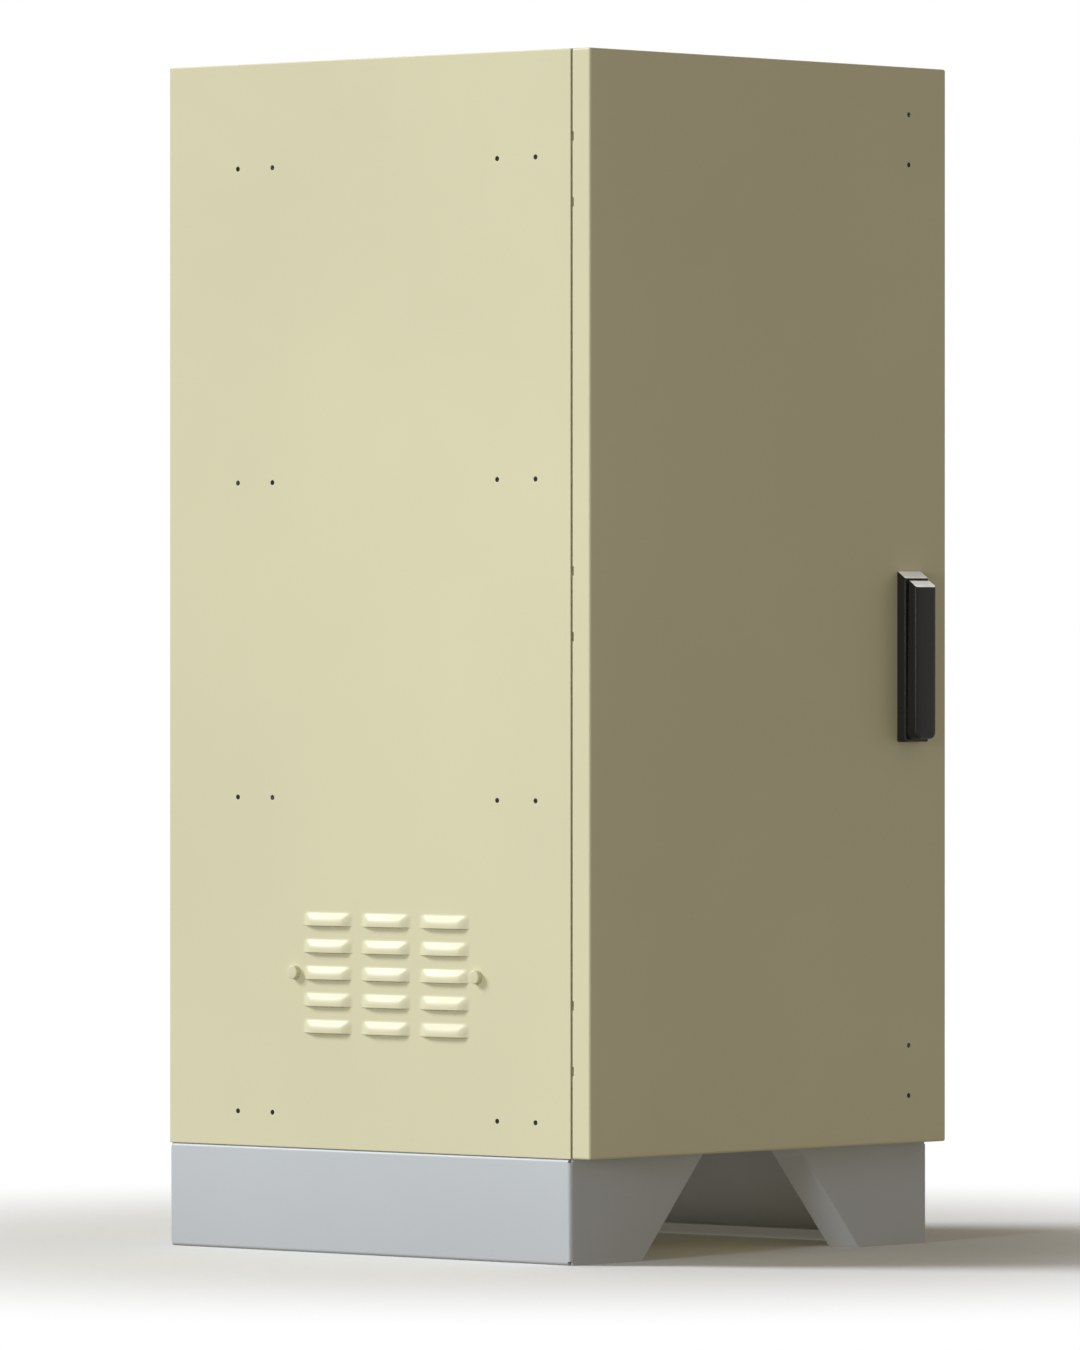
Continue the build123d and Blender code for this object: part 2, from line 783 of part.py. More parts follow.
# Door: a pan with returns on all four sides, notched at the hinge ears
ear_levels = [height + side * ear_spacing / 2 for height in hinge_heights for side in (-1, 1)]
guide_centres = {
    "upper": body_top - guide_centre_inset,
    "lower": body_bottom + guide_centre_inset,
}
guide_screw_levels = [
    centre + side * guide_screw_spacing / 2 for centre in guide_centres.values() for side in (-1, 1)
]
guide_screw_seats = [
    Plane(origin=(lock_x, door_front, level), x_dir=(1, 0, 0), z_dir=(0, -1, 0))
    for level in guide_screw_levels
]
handle_screw_levels = [lock_z + side * handle_screw_spacing / 2 for side in (-1, 1)]
skin_cut = (door_front - cut_overrun, door_skin + cut_overrun)
with BuildPart() as door_panel:
    block((-half_width, half_width), (door_front, door_rear), (body_bottom, body_top))
    front_edges = door_panel.faces().sort_by(Axis.Y)[0].edges()
    fillet(front_edges + door_panel.edges().filter_by(Axis.Y), door_edge_radius)
    block(
        (-inner_half_width, inner_half_width),
        (door_skin, door_rear + cut_overrun),
        (floor_top, roof_under),
        Mode.SUBTRACT,
    )
    for level in ear_levels:
        block(
            inward(-1, -cut_overrun, sheet + cut_overrun),
            (door_rear - notch_depth, door_rear + cut_overrun),
            between(level, ear_height + 2 * notch_clearance),
            Mode.SUBTRACT,
        )
    with Locations(*guide_screw_seats):
        CounterSinkHole(
            screw_shank_radius + fit_clearance,
            screw_head_radius + fit_clearance,
            sheet + cut_overrun,
            counter_sink_angle=right_angle,
        )
    round_bar("y", skin_cut, (lock_x, lock_z), spindle_radius + sliding_clearance, Mode.SUBTRACT)
    for level in handle_screw_levels:
        round_bar("y", skin_cut, (lock_x, level), handle_screw_radius + fit_clearance, Mode.SUBTRACT)
save(door_panel, "door_panel")

# Door gasket: a foam ring on the inside of the skin, opposite the sealing rim
gasket_y = (door_skin, rim_front - sliding_clearance)
gasket_outer = (gasket_width - sheet) / 2 + sheet
gasket_inner = gasket_width - gasket_outer
with BuildPart() as door_gasket:
    block(
        between(0, 2 * (opening_half_width + gasket_outer)),
        gasket_y,
        (opening_bottom - gasket_outer, opening_top + gasket_outer),
    )
    block(
        between(0, 2 * (opening_half_width - gasket_inner)),
        (gasket_y[0] - cut_overrun, gasket_y[1] + cut_overrun),
        (opening_bottom + gasket_inner, opening_top - gasket_inner),
        Mode.SUBTRACT,
    )
save(door_gasket, "door_gasket")

# Door stiffeners: two upright hat sections on the inside of the skin
stiffener_z = (body_bottom + stiffener_end_gap, body_top - stiffener_end_gap)
for side_name, side in sides.items():
    with BuildPart() as stiffener:
        centre_x = side * stiffener_offset
        hat_x = between(centre_x, stiffener_width)
        block(
            widened(hat_x, stiffener_foot),
            (door_skin, door_skin + stiffener_sheet),
            stiffener_z,
        )
        block(hat_x, (door_skin, door_skin + stiffener_depth), stiffener_z)
        block(
            widened(hat_x, -stiffener_sheet),
            (door_skin - cut_overrun, door_skin + stiffener_depth - stiffener_sheet),
            widened(stiffener_z, cut_overrun),
            Mode.SUBTRACT,
        )
    save(stiffener, f"door_stiffener_{side_name}")

# Hinges: a body leaf with two ears on the front frame, and a door leaf with the knuckle
leaf_x = (hinge_x + leaf_start, hinge_x + leaf_start + leaf_width)
leaf_y = (front - leaf_thickness, front)
arm_y = (hinge_y - knuckle_radius, hinge_y + ear_arm_reach)
knuckle_length = ear_spacing - ear_height - 2 * ear_gap
bore_radius = pin_radius + running_clearance
for hinge_name, height in zip(hinge_names, hinge_heights):
    ear_centres = [height + side * ear_spacing / 2 for side in (-1, 1)]
    with BuildPart() as body_leaf:
        block(leaf_x, leaf_y, between(height, ear_spacing + ear_height))
        for level in ear_centres:
            ear_z = between(level, ear_height)
            round_bar("z", ear_z, (hinge_x, hinge_y), knuckle_radius)
            block((hinge_x, leaf_x[0] + leaf_leg), arm_y, ear_z)
            block((leaf_x[0], leaf_x[0] + leaf_leg), (hinge_y, front), ear_z)
            round_bar("z", widened(ear_z, cut_overrun), (hinge_x, hinge_y), bore_radius, Mode.SUBTRACT)
        for side in (-1, 1):
            screw_place = (hinge_screw_x, height + side * hinge_screw_spacing / 2)
            hole_y = widened(leaf_y, cut_overrun)
            round_bar("y", hole_y, screw_place, hinge_screw_radius + fit_clearance, Mode.SUBTRACT)
    save(body_leaf, f"hinge_{hinge_name}_body_leaf")

    with BuildPart() as door_leaf:
        leaf_z = between(height, knuckle_length)
        web_x = (hinge_x + door_leaf_offset, hinge_x + door_leaf_offset + door_leaf_sheet)
        round_bar("z", leaf_z, (hinge_x, hinge_y), knuckle_radius)
        block(web_x, (door_skin, hinge_y), leaf_z)
        foot_x = (web_x[0], web_x[0] + door_leaf_foot)
        block(foot_x, (door_skin, door_skin + door_leaf_sheet), leaf_z)
        round_bar("z", widened(leaf_z, cut_overrun), (hinge_x, hinge_y), bore_radius, Mode.SUBTRACT)
    save(door_leaf, f"hinge_{hinge_name}_door_leaf")

with BuildPart() as hinge_pins:
    for height in hinge_heights:
        pin_top = height + (ear_spacing + ear_height) / 2
        pin_bottom = height - (ear_spacing + ear_height) / 2 - pin_tail
        round_bar("z", (pin_bottom, pin_top), (hinge_x, hinge_y), pin_radius)
        round_bar("z", (pin_top, pin_top + pin_head_height), (hinge_x, hinge_y), pin_head_radius)
save(hinge_pins, "hinge_pins")

with BuildPart() as hinge_screws:
    for x, z in hinge_screw_places:
        headed_screw(
            Plane(origin=(x, leaf_y[0], z), x_dir=(1, 0, 0), z_dir=(0, -1, 0)),
            hinge_screw_head_radius,
            hinge_screw_head_height,
            hinge_screw_radius,
            hinge_screw_length,
        )
save(hinge_screws, "hinge_screws")

# Swing handle: a housing on the door and a lever that folds down in front of it
handle_bottom = lock_z - handle_drop
handle_top = handle_bottom + handle_length
housing_front = door_front - housing_depth
lever_rear = housing_front - lever_gap
lever_front = lever_rear - lever_depth
lever_bottom = handle_bottom + lever_end_gap
lever_pin_y = lever_rear - lever_pin_setback
lever_pin_z = lock_z + lever_pin_rise


def slope_level(y):
    """The height of the handle's sloped top at a depth."""
    return handle_top - handle_slope_share * (door_front - y)


handle_x = between(lock_x, handle_width)
with BuildPart() as handle_housing:
    with BuildSketch(Plane.YZ.offset(handle_x[0])):
        with BuildLine():
            Polyline(
                (door_front, handle_bottom),
                (door_front, handle_top),
                (housing_front, slope_level(housing_front)),
                (housing_front, handle_bottom),
                close=True,
            )
        make_face()
    extrude(amount=handle_width)
    fillet(handle_housing.edges().filter_by(Axis.Y), handle_edge_radius)
    spindle_cut = (housing_front - cut_overrun, door_front + cut_overrun)
    round_bar("y", spindle_cut, (lock_x, lock_z), spindle_radius + running_clearance, Mode.SUBTRACT)
    screw_depth = handle_screw_length - sheet - lock_sheet + fit_clearance
    for level in handle_screw_levels:
        screw_hole = (door_front - screw_depth, door_front + cut_overrun)
        round_bar("y", screw_hole, (lock_x, level), handle_screw_radius + fit_clearance, Mode.SUBTRACT)
save(handle_housing, "handle_housing")

# Lever: its rear leans away above the pin, so that it can tip outwards by the lift angle
lift_tangent = math.tan(math.radians(lever_lift))
lever_crown_rise = (slope_level(lever_rear) - lever_pin_z) / (1 + handle_slope_share * lift_tangent)
lever_crown_y = lever_rear - lift_tangent * lever_crown_rise
pocket_front = lever_rear - spindle_head_depth - pocket_clearance
with BuildPart() as handle_lever:
    with BuildSketch(Plane.YZ.offset(lock_x - lever_width / 2)):
        with BuildLine():
            Polyline(
                (lever_front, lever_bottom),
                (lever_front, slope_level(lever_front)),
                (lever_crown_y, slope_level(lever_crown_y)),
                (lever_rear, lever_pin_z),
                (lever_rear, lever_bottom),
                close=True,
            )
        make_face()
    extrude(amount=lever_width)
    lower_corners = handle_lever.edges().filter_by(Axis.Y).group_by(Axis.Z)[0]
    fillet(lower_corners, lever_corner_radius)
    front_edges = handle_lever.faces().sort_by(Axis.Y)[0].edges()
    fillet(front_edges - front_edges.group_by(Axis.Z)[-1], lever_edge_radius)
    pocket_half = spindle_head_radius + pocket_clearance
    block(
        between(lock_x, 2 * pocket_half),
        (pocket_front, lever_rear + cut_overrun),
        (lock_z - pocket_half, lock_z + pocket_half),
        Mode.SUBTRACT,
    )
    slot_x = between(lock_x, lug_width + 2 * sliding_clearance)
    slot_radius = lug_radius + sliding_clearance
    block(
        slot_x,
        (lever_pin_y - slot_radius, lever_rear + cut_overrun),
        (lock_z, lever_pin_z),
        Mode.SUBTRACT,
    )
    round_bar("x", slot_x, (lever_pin_y, lever_pin_z), slot_radius, Mode.SUBTRACT)
    pin_room = between(lock_x, lever_pin_length + 2 * sliding_clearance)
    round_bar("x", pin_room, (lever_pin_y, lever_pin_z), lever_pin_radius + running_clearance, Mode.SUBTRACT)
save(handle_lever, "handle_lever")

with BuildPart() as lever_pin:
    round_bar("x", between(lock_x, lever_pin_length), (lever_pin_y, lever_pin_z), lever_pin_radius)
save(lever_pin, "lever_pin")

# Spindle: a shaft through the door with a head and a lug in front, and a square behind
crank_y = (rod_front - crank_rod_gap - crank_thickness, rod_front - crank_rod_gap)
with BuildPart() as handle_spindle:
    round_bar("y", (lever_rear, crank_y[0]), (lock_x, lock_z), spindle_radius)
    round_bar("y", (lever_rear - spindle_head_depth, lever_rear), (lock_x, lock_z), spindle_head_radius)
    lug_x = between(lock_x, lug_width)
    block(lug_x, between(lever_pin_y, 2 * lug_radius), (lock_z, lever_pin_z))
    round_bar("x", lug_x, (lever_pin_y, lever_pin_z), lug_radius)
    block(between(lock_x, spindle_square), crank_y, between(lock_z, spindle_square))
    lug_cut = widened(lug_x, cut_overrun)
    round_bar("x", lug_cut, (lever_pin_y, lever_pin_z), lever_pin_radius + fit_clearance, Mode.SUBTRACT)
save(handle_spindle, "handle_spindle")

# Lock case: a folded box on the inside of the skin, closed by a cover
case_rear = door_skin + lock_case_depth
case_x = between(lock_x, lock_case_width)
case_z = between(lock_z, lock_case_height)
rod_slot_x = between(lock_x, rod_width + 2 * sliding_clearance)
rod_slot_y = widened((rod_front, rod_rear), sliding_clearance)
with BuildPart() as lock_case:
    block(case_x, (door_skin, case_rear), case_z)
    block(
        widened(case_x, -lock_sheet),
        (door_skin + lock_sheet, case_rear + cut_overrun),
        widened(case_z, -lock_sheet),
        Mode.SUBTRACT,
    )
    block(rod_slot_x, rod_slot_y, widened(case_z, cut_overrun), Mode.SUBTRACT)
    case_cut = (door_skin - cut_overrun, door_skin + lock_sheet + cut_overrun)
    round_bar("y", case_cut, (lock_x, lock_z), spindle_radius + running_clearance, Mode.SUBTRACT)
    for level in handle_screw_levels:
        round_bar("y", case_cut, (lock_x, level), handle_screw_radius + fit_clearance, Mode.SUBTRACT)
save(lock_case, "lock_case")

with BuildPart() as lock_cover:
    block(case_x, (case_rear, case_rear + lock_sheet), case_z)
save(lock_cover, "lock_cover")

with BuildPart() as handle_screws:
    for level in handle_screw_levels:
        headed_screw(
            Plane(origin=(lock_x, door_skin + lock_sheet, level), x_dir=(1, 0, 0), z_dir=(0, 1, 0)),
            handle_screw_head_radius,
            handle_screw_head_height,
            handle_screw_radius,
            handle_screw_length,
        )
save(handle_screws, "handle_screws")

# Crank: a disc on the spindle's square with a drive pin for each rod, half a turn apart
pin_offset = crank_throw * math.sin(math.radians(right_angle / 2))
with BuildPart() as lock_crank:
    round_bar("y", crank_y, (lock_x, lock_z), crank_radius)
    square_room = spindle_square + 2 * fit_clearance
    square_cut = widened(crank_y, cut_overrun)
    block(between(lock_x, square_room), square_cut, between(lock_z, square_room), Mode.SUBTRACT)
    for side in (-1, 1):
        pin_place = (lock_x + side * pin_offset, lock_z + side * pin_offset)
        round_bar("y", (crank_y[0], rod_rear + crank_rod_gap), pin_place, crank_pin_radius)
save(lock_crank, "lock_crank")


# Lock rods: flat bars, each with a yoke beside the spindle and a slot for its drive pin
def lock_rod(side, rod_end):
    """The rod above (+1) or below (-1) the lock; its tip stops short of the front frame."""
    slot_start = pin_offset - crank_pin_radius - crank_pin_play
    slot_stop = crank_throw + crank_pin_radius + crank_pin_play
    yoke_reach = lock_case_width / 2 - lock_sheet - rod_yoke_gap
    yoke_stop = rod_yoke_start + rod_yoke_height
    rod_y = (rod_front, rod_rear)

    def beside(start, stop):
        return tuple(sorted((lock_x + side * start, lock_x + side * stop)))

    def along(start, stop):
        return tuple(sorted((lock_z + side * start, lock_z + side * stop)))

    with BuildPart() as rod:
        block(beside(rod_yoke_gap, yoke_reach), rod_y, along(rod_yoke_start, yoke_stop))
        block(
            between(lock_x, rod_width),
            rod_y,
            tuple(sorted((lock_z + side * (yoke_stop - rod_width / 2), rod_end))),
        )
        block(
            beside(slot_start, slot_stop),
            widened(rod_y, cut_overrun),
            between(lock_z + side * pin_offset, 2 * (crank_pin_radius + crank_pin_play)),
            Mode.SUBTRACT,
        )
    return rod


save(lock_rod(1, opening_top - rod_end_gap), "upper_rod")
save(lock_rod(-1, opening_bottom + rod_end_gap), "lower_rod")

# Rod guides: moulded blocks on the skin that the rods slide through, with their screws
guide_rear = rod_rear + sliding_clearance + guide_wall
for guide_name, centre in guide_centres.items():
    with BuildPart() as rod_guide:
        guide_x = between(lock_x, guide_width)
        block(guide_x, (door_skin, door_skin + guide_foot_depth), between(centre, guide_foot_height))
        block(guide_x, (door_skin, guide_rear), between(centre, guide_height))
        block(rod_slot_x, rod_slot_y, between(centre, guide_height + cut_overrun), Mode.SUBTRACT)
        for side in (-1, 1):
            screw_place = (lock_x, centre + side * guide_screw_spacing / 2)
            hole_span = (door_skin - cut_overrun, door_skin + guide_foot_depth + cut_overrun)
            round_bar("y", hole_span, screw_place, screw_shank_radius + fit_clearance, Mode.SUBTRACT)
    save(rod_guide, f"{guide_name}_rod_guide")

with BuildPart() as guide_screws:
    for seat in guide_screw_seats:
        countersunk_screw(seat, screw_head_radius, screw_shank_radius, screw_length)
save(guide_screws, "guide_screws")
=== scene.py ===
import math

import bmesh
import bpy
import numpy as np
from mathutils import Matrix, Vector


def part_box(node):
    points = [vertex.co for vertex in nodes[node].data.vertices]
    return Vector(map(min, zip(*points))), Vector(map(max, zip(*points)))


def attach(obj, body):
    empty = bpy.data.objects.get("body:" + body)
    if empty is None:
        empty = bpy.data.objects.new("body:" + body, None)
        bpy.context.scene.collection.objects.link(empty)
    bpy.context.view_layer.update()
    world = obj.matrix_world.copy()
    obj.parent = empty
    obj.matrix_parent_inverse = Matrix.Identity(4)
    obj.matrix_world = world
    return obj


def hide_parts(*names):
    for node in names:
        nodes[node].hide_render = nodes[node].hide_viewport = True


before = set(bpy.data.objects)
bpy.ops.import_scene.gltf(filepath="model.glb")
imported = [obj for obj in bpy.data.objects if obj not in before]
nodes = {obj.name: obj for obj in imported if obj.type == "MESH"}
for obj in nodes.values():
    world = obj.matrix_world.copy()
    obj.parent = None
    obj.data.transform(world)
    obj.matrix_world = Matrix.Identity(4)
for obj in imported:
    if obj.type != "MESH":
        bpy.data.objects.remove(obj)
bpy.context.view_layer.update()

# Plinth: under each side one sheet of grey painted steel, folded on a press brake into a web
# with a flange above and below and a tapered foot at each end, the foot's slanted edge folded
# back once more. Square reliefs are cut at the corners. Bolts hold it to the floor panel.
plinth_sheet = 0.003
fold_radius = 0.0038
fold_steps = 6
plinth_flange = 0.046
plinth_lip = 0.012
foot_top_width = 0.222
foot_bottom_width = 0.119
foot_flange = 0.043
foot_rows = 9
fold_relief = 0.004
relief_edge = 0.0002
anchor_radius = 0.007
anchor_inset = 0.023
anchor_reach = 0.240
plinth_grey = (0.552, 0.584, 0.610, 1.0)
bare_edge_grey = (0.64, 0.66, 0.68, 1.0)
merge_reach = 1e-6
sliver_reach = 1e-7
finishes = {}


def set_inputs(tree, sockets, values):
    """Sets sockets by name or number: another node's socket is linked, any other value written."""
    for key, value in values.items():
        if isinstance(value, bpy.types.NodeSocket):
            tree.links.new(value, sockets[key])
        else:
            sockets[key].default_value = value


def put(tree, kind, inputs, **settings):
    """A shader node with its settings and inputs."""
    node = tree.nodes.new("ShaderNode" + kind)
    for name, value in settings.items():
        setattr(node, name, value)
    set_inputs(tree, node.inputs, inputs)
    return node


def object_place(tree):
    """The place of a shaded point in its object's own coordinates."""
    return put(tree, "TexCoord", {}).outputs["Object"]


def noise(tree, place, scale, detail):
    """Cloudy noise about one half."""
    inputs = {"Vector": place, "Scale": scale, "Detail": detail}
    return put(tree, "TexNoise", inputs).outputs[0]


def ranged(tree, value, start, end, low=0.0, high=1.0, **settings):
    """A value that goes from low to high while the given one goes from start to end."""
    inputs = {"Value": value, "From Min": start, "From Max": end, "To Min": low, "To Max": high}
    return put(tree, "MapRange", inputs, **settings).outputs[0]


def reckoned(tree, operation, first, second):
    """The result of a sum on two values."""
    return put(tree, "Math", {0: first, 1: second}, operation=operation).outputs[0]


def mixed(tree, share, first, second):
    """Two colours mixed by a share. Sockets 6, 7 and 2 are the node's colour ones."""
    inputs = {"Factor": share, 6: first, 7: second}
    return put(tree, "Mix", inputs, data_type="RGBA").outputs[2]


def bumped(tree, height, strength, distance, **under):
    """A normal that follows a height, over another normal where one is given."""
    inputs = {"Height": height, "Strength": strength, "Distance": distance, **under}
    return put(tree, "Bump", inputs).outputs[0]


def new_group(name, inputs, outputs):
    """An empty shader group with named sockets, and its inner input and output sockets."""
    group = bpy.data.node_groups.new(name, "ShaderNodeTree")
    for socket_name, kind in inputs.items():
        group.interface.new_socket(socket_name, in_out="INPUT", socket_type="NodeSocket" + kind)
    for socket_name, kind in outputs.items():
        group.interface.new_socket(socket_name, in_out="OUTPUT", socket_type="NodeSocket" + kind)
    given = group.nodes.new("NodeGroupInput").outputs
    made = group.nodes.new("NodeGroupOutput").inputs
    return group, given, made


def powder_coat_group():
    """Powder coat: a slow drift of tone, a patchy gloss and the fine ripple of orange peel."""
    group, given, made = new_group(
        "powder_coat",
        {"Colour": "Color"},
        {"Colour": "Color", "Roughness": "Float", "Height": "Float"},
    )
    place = object_place(group)
    drift = noise(group, place, scale=2.3, detail=3.0)
    patches = noise(group, place, scale=17.0, detail=4.0)
    peel = noise(group, place, scale=520.0, detail=2.0)
    tone = ranged(group, drift, 0.3, 0.7, low=0.97, high=1.02)
    tinted = put(group, "HueSaturation", {"Value": tone, "Color": given["Colour"]})
    gloss = ranged(group, patches, 0.3, 0.7, low=0.33, high=0.43)
    set_inputs(group, made, {"Colour": tinted.outputs[0], "Roughness": gloss, "Height": peel})
    return group


def worn_edges_group():
    """A mask of the edges: where the normal, rounded over a width, leaves the face's own normal."""
    group, given, made = new_group(
        "worn_edges", {"Width": "Float"}, {"Mask": "Float", "Normal": "Vector"}
    )
    rounded = put(group, "Bevel", {"Radius": given["Width"]}, samples=4).outputs[0]
    own = put(group, "NewGeometry", {}).outputs["Normal"]
    agree = put(group, "VectorMath", {0: rounded, 1: own}, operation="DOT_PRODUCT")
    breaks = noise(group, object_place(group), scale=38.0, detail=5.0)
    turn = ranged(group, agree.outputs["Value"], 0.985, 0.86)
    patchy = ranged(group, breaks, 0.42, 0.66)
    set_inputs(group, made, {"Mask": reckoned(group, "MULTIPLY", turn, patchy), "Normal": rounded})
    return group


powder_coat = powder_coat_group()
worn_edges = worn_edges_group()


def cleared(owner):
    """The shader tree of a material or a world, emptied."""
    owner.use_nodes = True
    owner.node_tree.nodes.clear()
    return owner.node_tree


def new_finish(name):
    """A new node material, kept in finishes: its tree and its surface shader's inputs."""
    finishes[name] = bpy.data.materials.new(name)
    tree = cleared(finishes[name])
    surface = put(tree, "BsdfPrincipled", {})
    put(tree, "OutputMaterial", {"Surface": surface.outputs[0]})
    return tree, surface.inputs


def worn_finish(name, group, group_inputs, edges, bump, own_inputs):
    """A finish with its colour, gloss and height from a group, and another colour on worn edges.
    Edges are a colour, a width and a share; a bump is a strength and a distance."""
    tree, surface = new_finish(name)
    edge_colour, edge_width, edge_share = edges
    base = put(tree, "Group", group_inputs, node_tree=group).outputs
    wear = put(tree, "Group", {"Width": edge_width}, node_tree=worn_edges).outputs
    worn = reckoned(tree, "MULTIPLY", wear["Mask"], edge_share)
    look = {
        "Base Color": mixed(tree, worn, base["Colour"], edge_colour),
        "Roughness": base["Roughness"],
        "Normal": bumped(tree, base["Height"], *bump, Normal=wear["Normal"]),
    }
    set_inputs(tree, surface, {**look, **own_inputs})


def painted_finish(name, colour, edge_colour, edge_width):
    """Powder-coated steel: peel and tone from the coat, and thinner paint along the edges."""
    edges = (edge_colour, edge_width, 0.45)
    gloss = {"Specular IOR Level": 0.32}
    worn_finish(name, powder_coat, {"Colour": colour}, edges, (0.35, 0.00012), gloss)


painted_finish("grey_paint", plinth_grey, bare_edge_grey, edge_width=0.0010)


def grid_faces(rows, columns, ring=False):
    """The quads of a grid of points, row by row; ring also joins each row's end to its start."""
    start = np.arange(columns if ring else columns - 1)
    after = (start + 1) % columns
    row = np.arange(rows - 1)[:, None] * columns
    quads = [row + start, row + after, row + columns + after, row + columns + start]
    return np.stack(quads, axis=-1).reshape(-1, 4)


def shell(outer, inner):
    """A closed sheet between two grids of points: both faces, and a strip round their rim."""
    rows, columns = outer.shape[:2]
    count = rows * columns
    order = np.arange(count).reshape(rows, columns)
    rim = np.concatenate([order[0, :-1], order[:-1, -1], order[-1, :0:-1], order[:0:-1, 0]])
    after = np.roll(rim, -1)
    strip = np.stack([rim, rim + count, after + count, after], axis=-1)
    front = grid_faces(rows, columns)
    points = np.concatenate([outer.reshape(-1, 3), inner.reshape(-1, 3)])
    return points, np.concatenate([front, front[:, ::-1] + count, strip])


def new_mesh(name, surfaces, outward=True):
    """A mesh of the surfaces with its doubles merged; outward turns closed shapes to face out."""
    starts = np.cumsum([0] + [len(points) for points, faces in surfaces[:-1]])
    all_points = np.concatenate([points for points, faces in surfaces])
    all_faces = np.concatenate([faces + start for start, (points, faces) in zip(starts, surfaces)])
    mesh = bpy.data.meshes.new(name)
    mesh.from_pydata(all_points.tolist(), [], all_faces.tolist())
    work = bmesh.new()
    work.from_mesh(mesh)
    bmesh.ops.remove_doubles(work, verts=work.verts, dist=merge_reach)
    bmesh.ops.dissolve_degenerate(work, edges=work.edges, dist=sliver_reach)
    if outward:
        bmesh.ops.recalc_face_normals(work, faces=work.faces)
    work.to_mesh(mesh)
    work.free()
    return mesh


def placed(name, data):
    """A new object of the scene that shows some data."""
    made = bpy.data.objects.new(name, data)
    bpy.context.scene.collection.objects.link(made)
    return made


def new_piece(mesh, slot, body, *stands_for, finish=None, sharp_angle=34.0):
    """An object of the scene from a mesh: shaded, finished, and told where it belongs. Its finish
    has the name of its slot unless another one is named."""
    mesh.shade_smooth()
    mesh.set_sharp_from_angle(angle=math.radians(sharp_angle))
    mesh.materials.clear()
    mesh.materials.append(finishes[finish or slot])
    piece = placed(mesh.name, mesh)
    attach(piece, body)
    if stands_for:
        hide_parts(*stands_for)


def folded_line(corners):
    """The line through the corners, each inner one an arc of the fold that touches both legs."""
    corners = np.asarray(corners, float)
    stretches = [corners[:1]]
    for before, corner, after in zip(corners, corners[1:], corners[2:]):
        way_in = (corner - before) / np.linalg.norm(corner - before)
        way_out = (after - corner) / np.linalg.norm(after - corner)
        turn = math.atan2(way_in[0] * way_out[1] - way_in[1] * way_out[0], way_in @ way_out)
        left = np.array([-way_in[1], way_in[0]]) * math.copysign(1, turn)
        centre = corner - way_in * fold_radius * math.tan(abs(turn) / 2) + left * fold_radius
        angle = np.linspace(0, abs(turn), fold_steps + 1)[:, None]
        stretches.append(centre + fold_radius * (np.sin(angle) * way_in - np.cos(angle) * left))
    stretches.append(corners[-1:])
    return np.concatenate(stretches)


def beside(line, distance):
    """The line moved to its left by a distance, mitred where it turns."""
    way = np.diff(line, axis=0)
    way /= np.linalg.norm(way, axis=1, keepdims=True)
    left = np.stack([-way[:, 1], way[:, 0]], axis=1)
    first = np.concatenate([left[:1], left])
    second = np.concatenate([left, left[-1:]])
    agree = np.sum(first * second, axis=1, keepdims=True)
    return line + distance * (first + second) / (1 + agree)


def turned(profile, steps=24):
    """A lathe surface. Each profile row is a radius and a height, and for a hexagon also how far
    its circle is drawn out to one (0 to 1) and how steeply its height falls to the corners."""
    rows = [(*row, 0, 0)[:4] for row in profile]
    radius, height, corners, fall = np.asarray(rows, float).T[:, :, None]
    angle = np.arange(steps) * 2 * math.pi / steps
    drawn = radius * (1 + corners * (1 / np.cos(angle % (math.pi / 3) - math.pi / 6) - 1))
    level = height - fall * (drawn - radius)
    points = np.stack([drawn * np.cos(angle), drawn * np.sin(angle), level], axis=-1)
    return points.reshape(-1, 3), grid_faces(len(profile), steps, ring=True)


def stood(surface, axis, places):
    """Copies of a lathe surface at several places, with its axis along a direction."""
    points, faces = surface
    up = np.asarray(axis, float)
    across = np.array([up[1], up[2], up[0]])
    turned_points = points @ np.stack([across, np.cross(up, across), up])
    return [(turned_points + np.asarray(place), faces) for place in places]


def modified(mesh, kind, **settings):
    """The mesh after one modifier, under the same name. The mesh it was made from is dropped."""
    name = mesh.name
    blank = placed(name, mesh)
    modifier = blank.modifiers.new(name, kind)
    for key, value in settings.items():
        setattr(modifier, key, value)
    shaped = blank.evaluated_get(bpy.context.evaluated_depsgraph_get())
    made = bpy.data.meshes.new_from_object(shaped)
    bpy.data.objects.remove(blank)
    bpy.data.meshes.remove(mesh)
    made.name = name
    return made


def bored(mesh, cutters):
    """The mesh with the cutter surfaces taken out of it."""
    cutter_mesh = new_mesh("cutter", cutters)
    cutter = placed("cutter", cutter_mesh)
    drilled = modified(mesh, "BOOLEAN", operation="DIFFERENCE", solver="EXACT", object=cutter)
    bpy.data.objects.remove(cutter)
    bpy.data.meshes.remove(cutter_mesh)
    return drilled


plinth_low, plinth_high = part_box("plinth_left")
plinth_height = plinth_high.z
half_width = -plinth_low.x
half_depth = plinth_high.y


def plinth_channel(side):
    """The web and its flanges: a folded section carried along the depth, between the reliefs."""
    section = folded_line(
        [
            (plinth_flange, plinth_lip),
            (plinth_flange, 0),
            (0, 0),
            (0, plinth_height),
            (plinth_flange, plinth_height),
        ]
    )
    depths = np.array([-half_depth + fold_relief, half_depth - fold_relief])

    def carried(line):
        shape = np.zeros((len(depths), len(line), 3))
        shape[..., 0] = side * (half_width - line[:, 0])
        shape[..., 1] = depths[:, None]
        shape[..., 2] = line[:, 1]
        return shape

    return shell(carried(section), carried(beside(section, -plinth_sheet)))


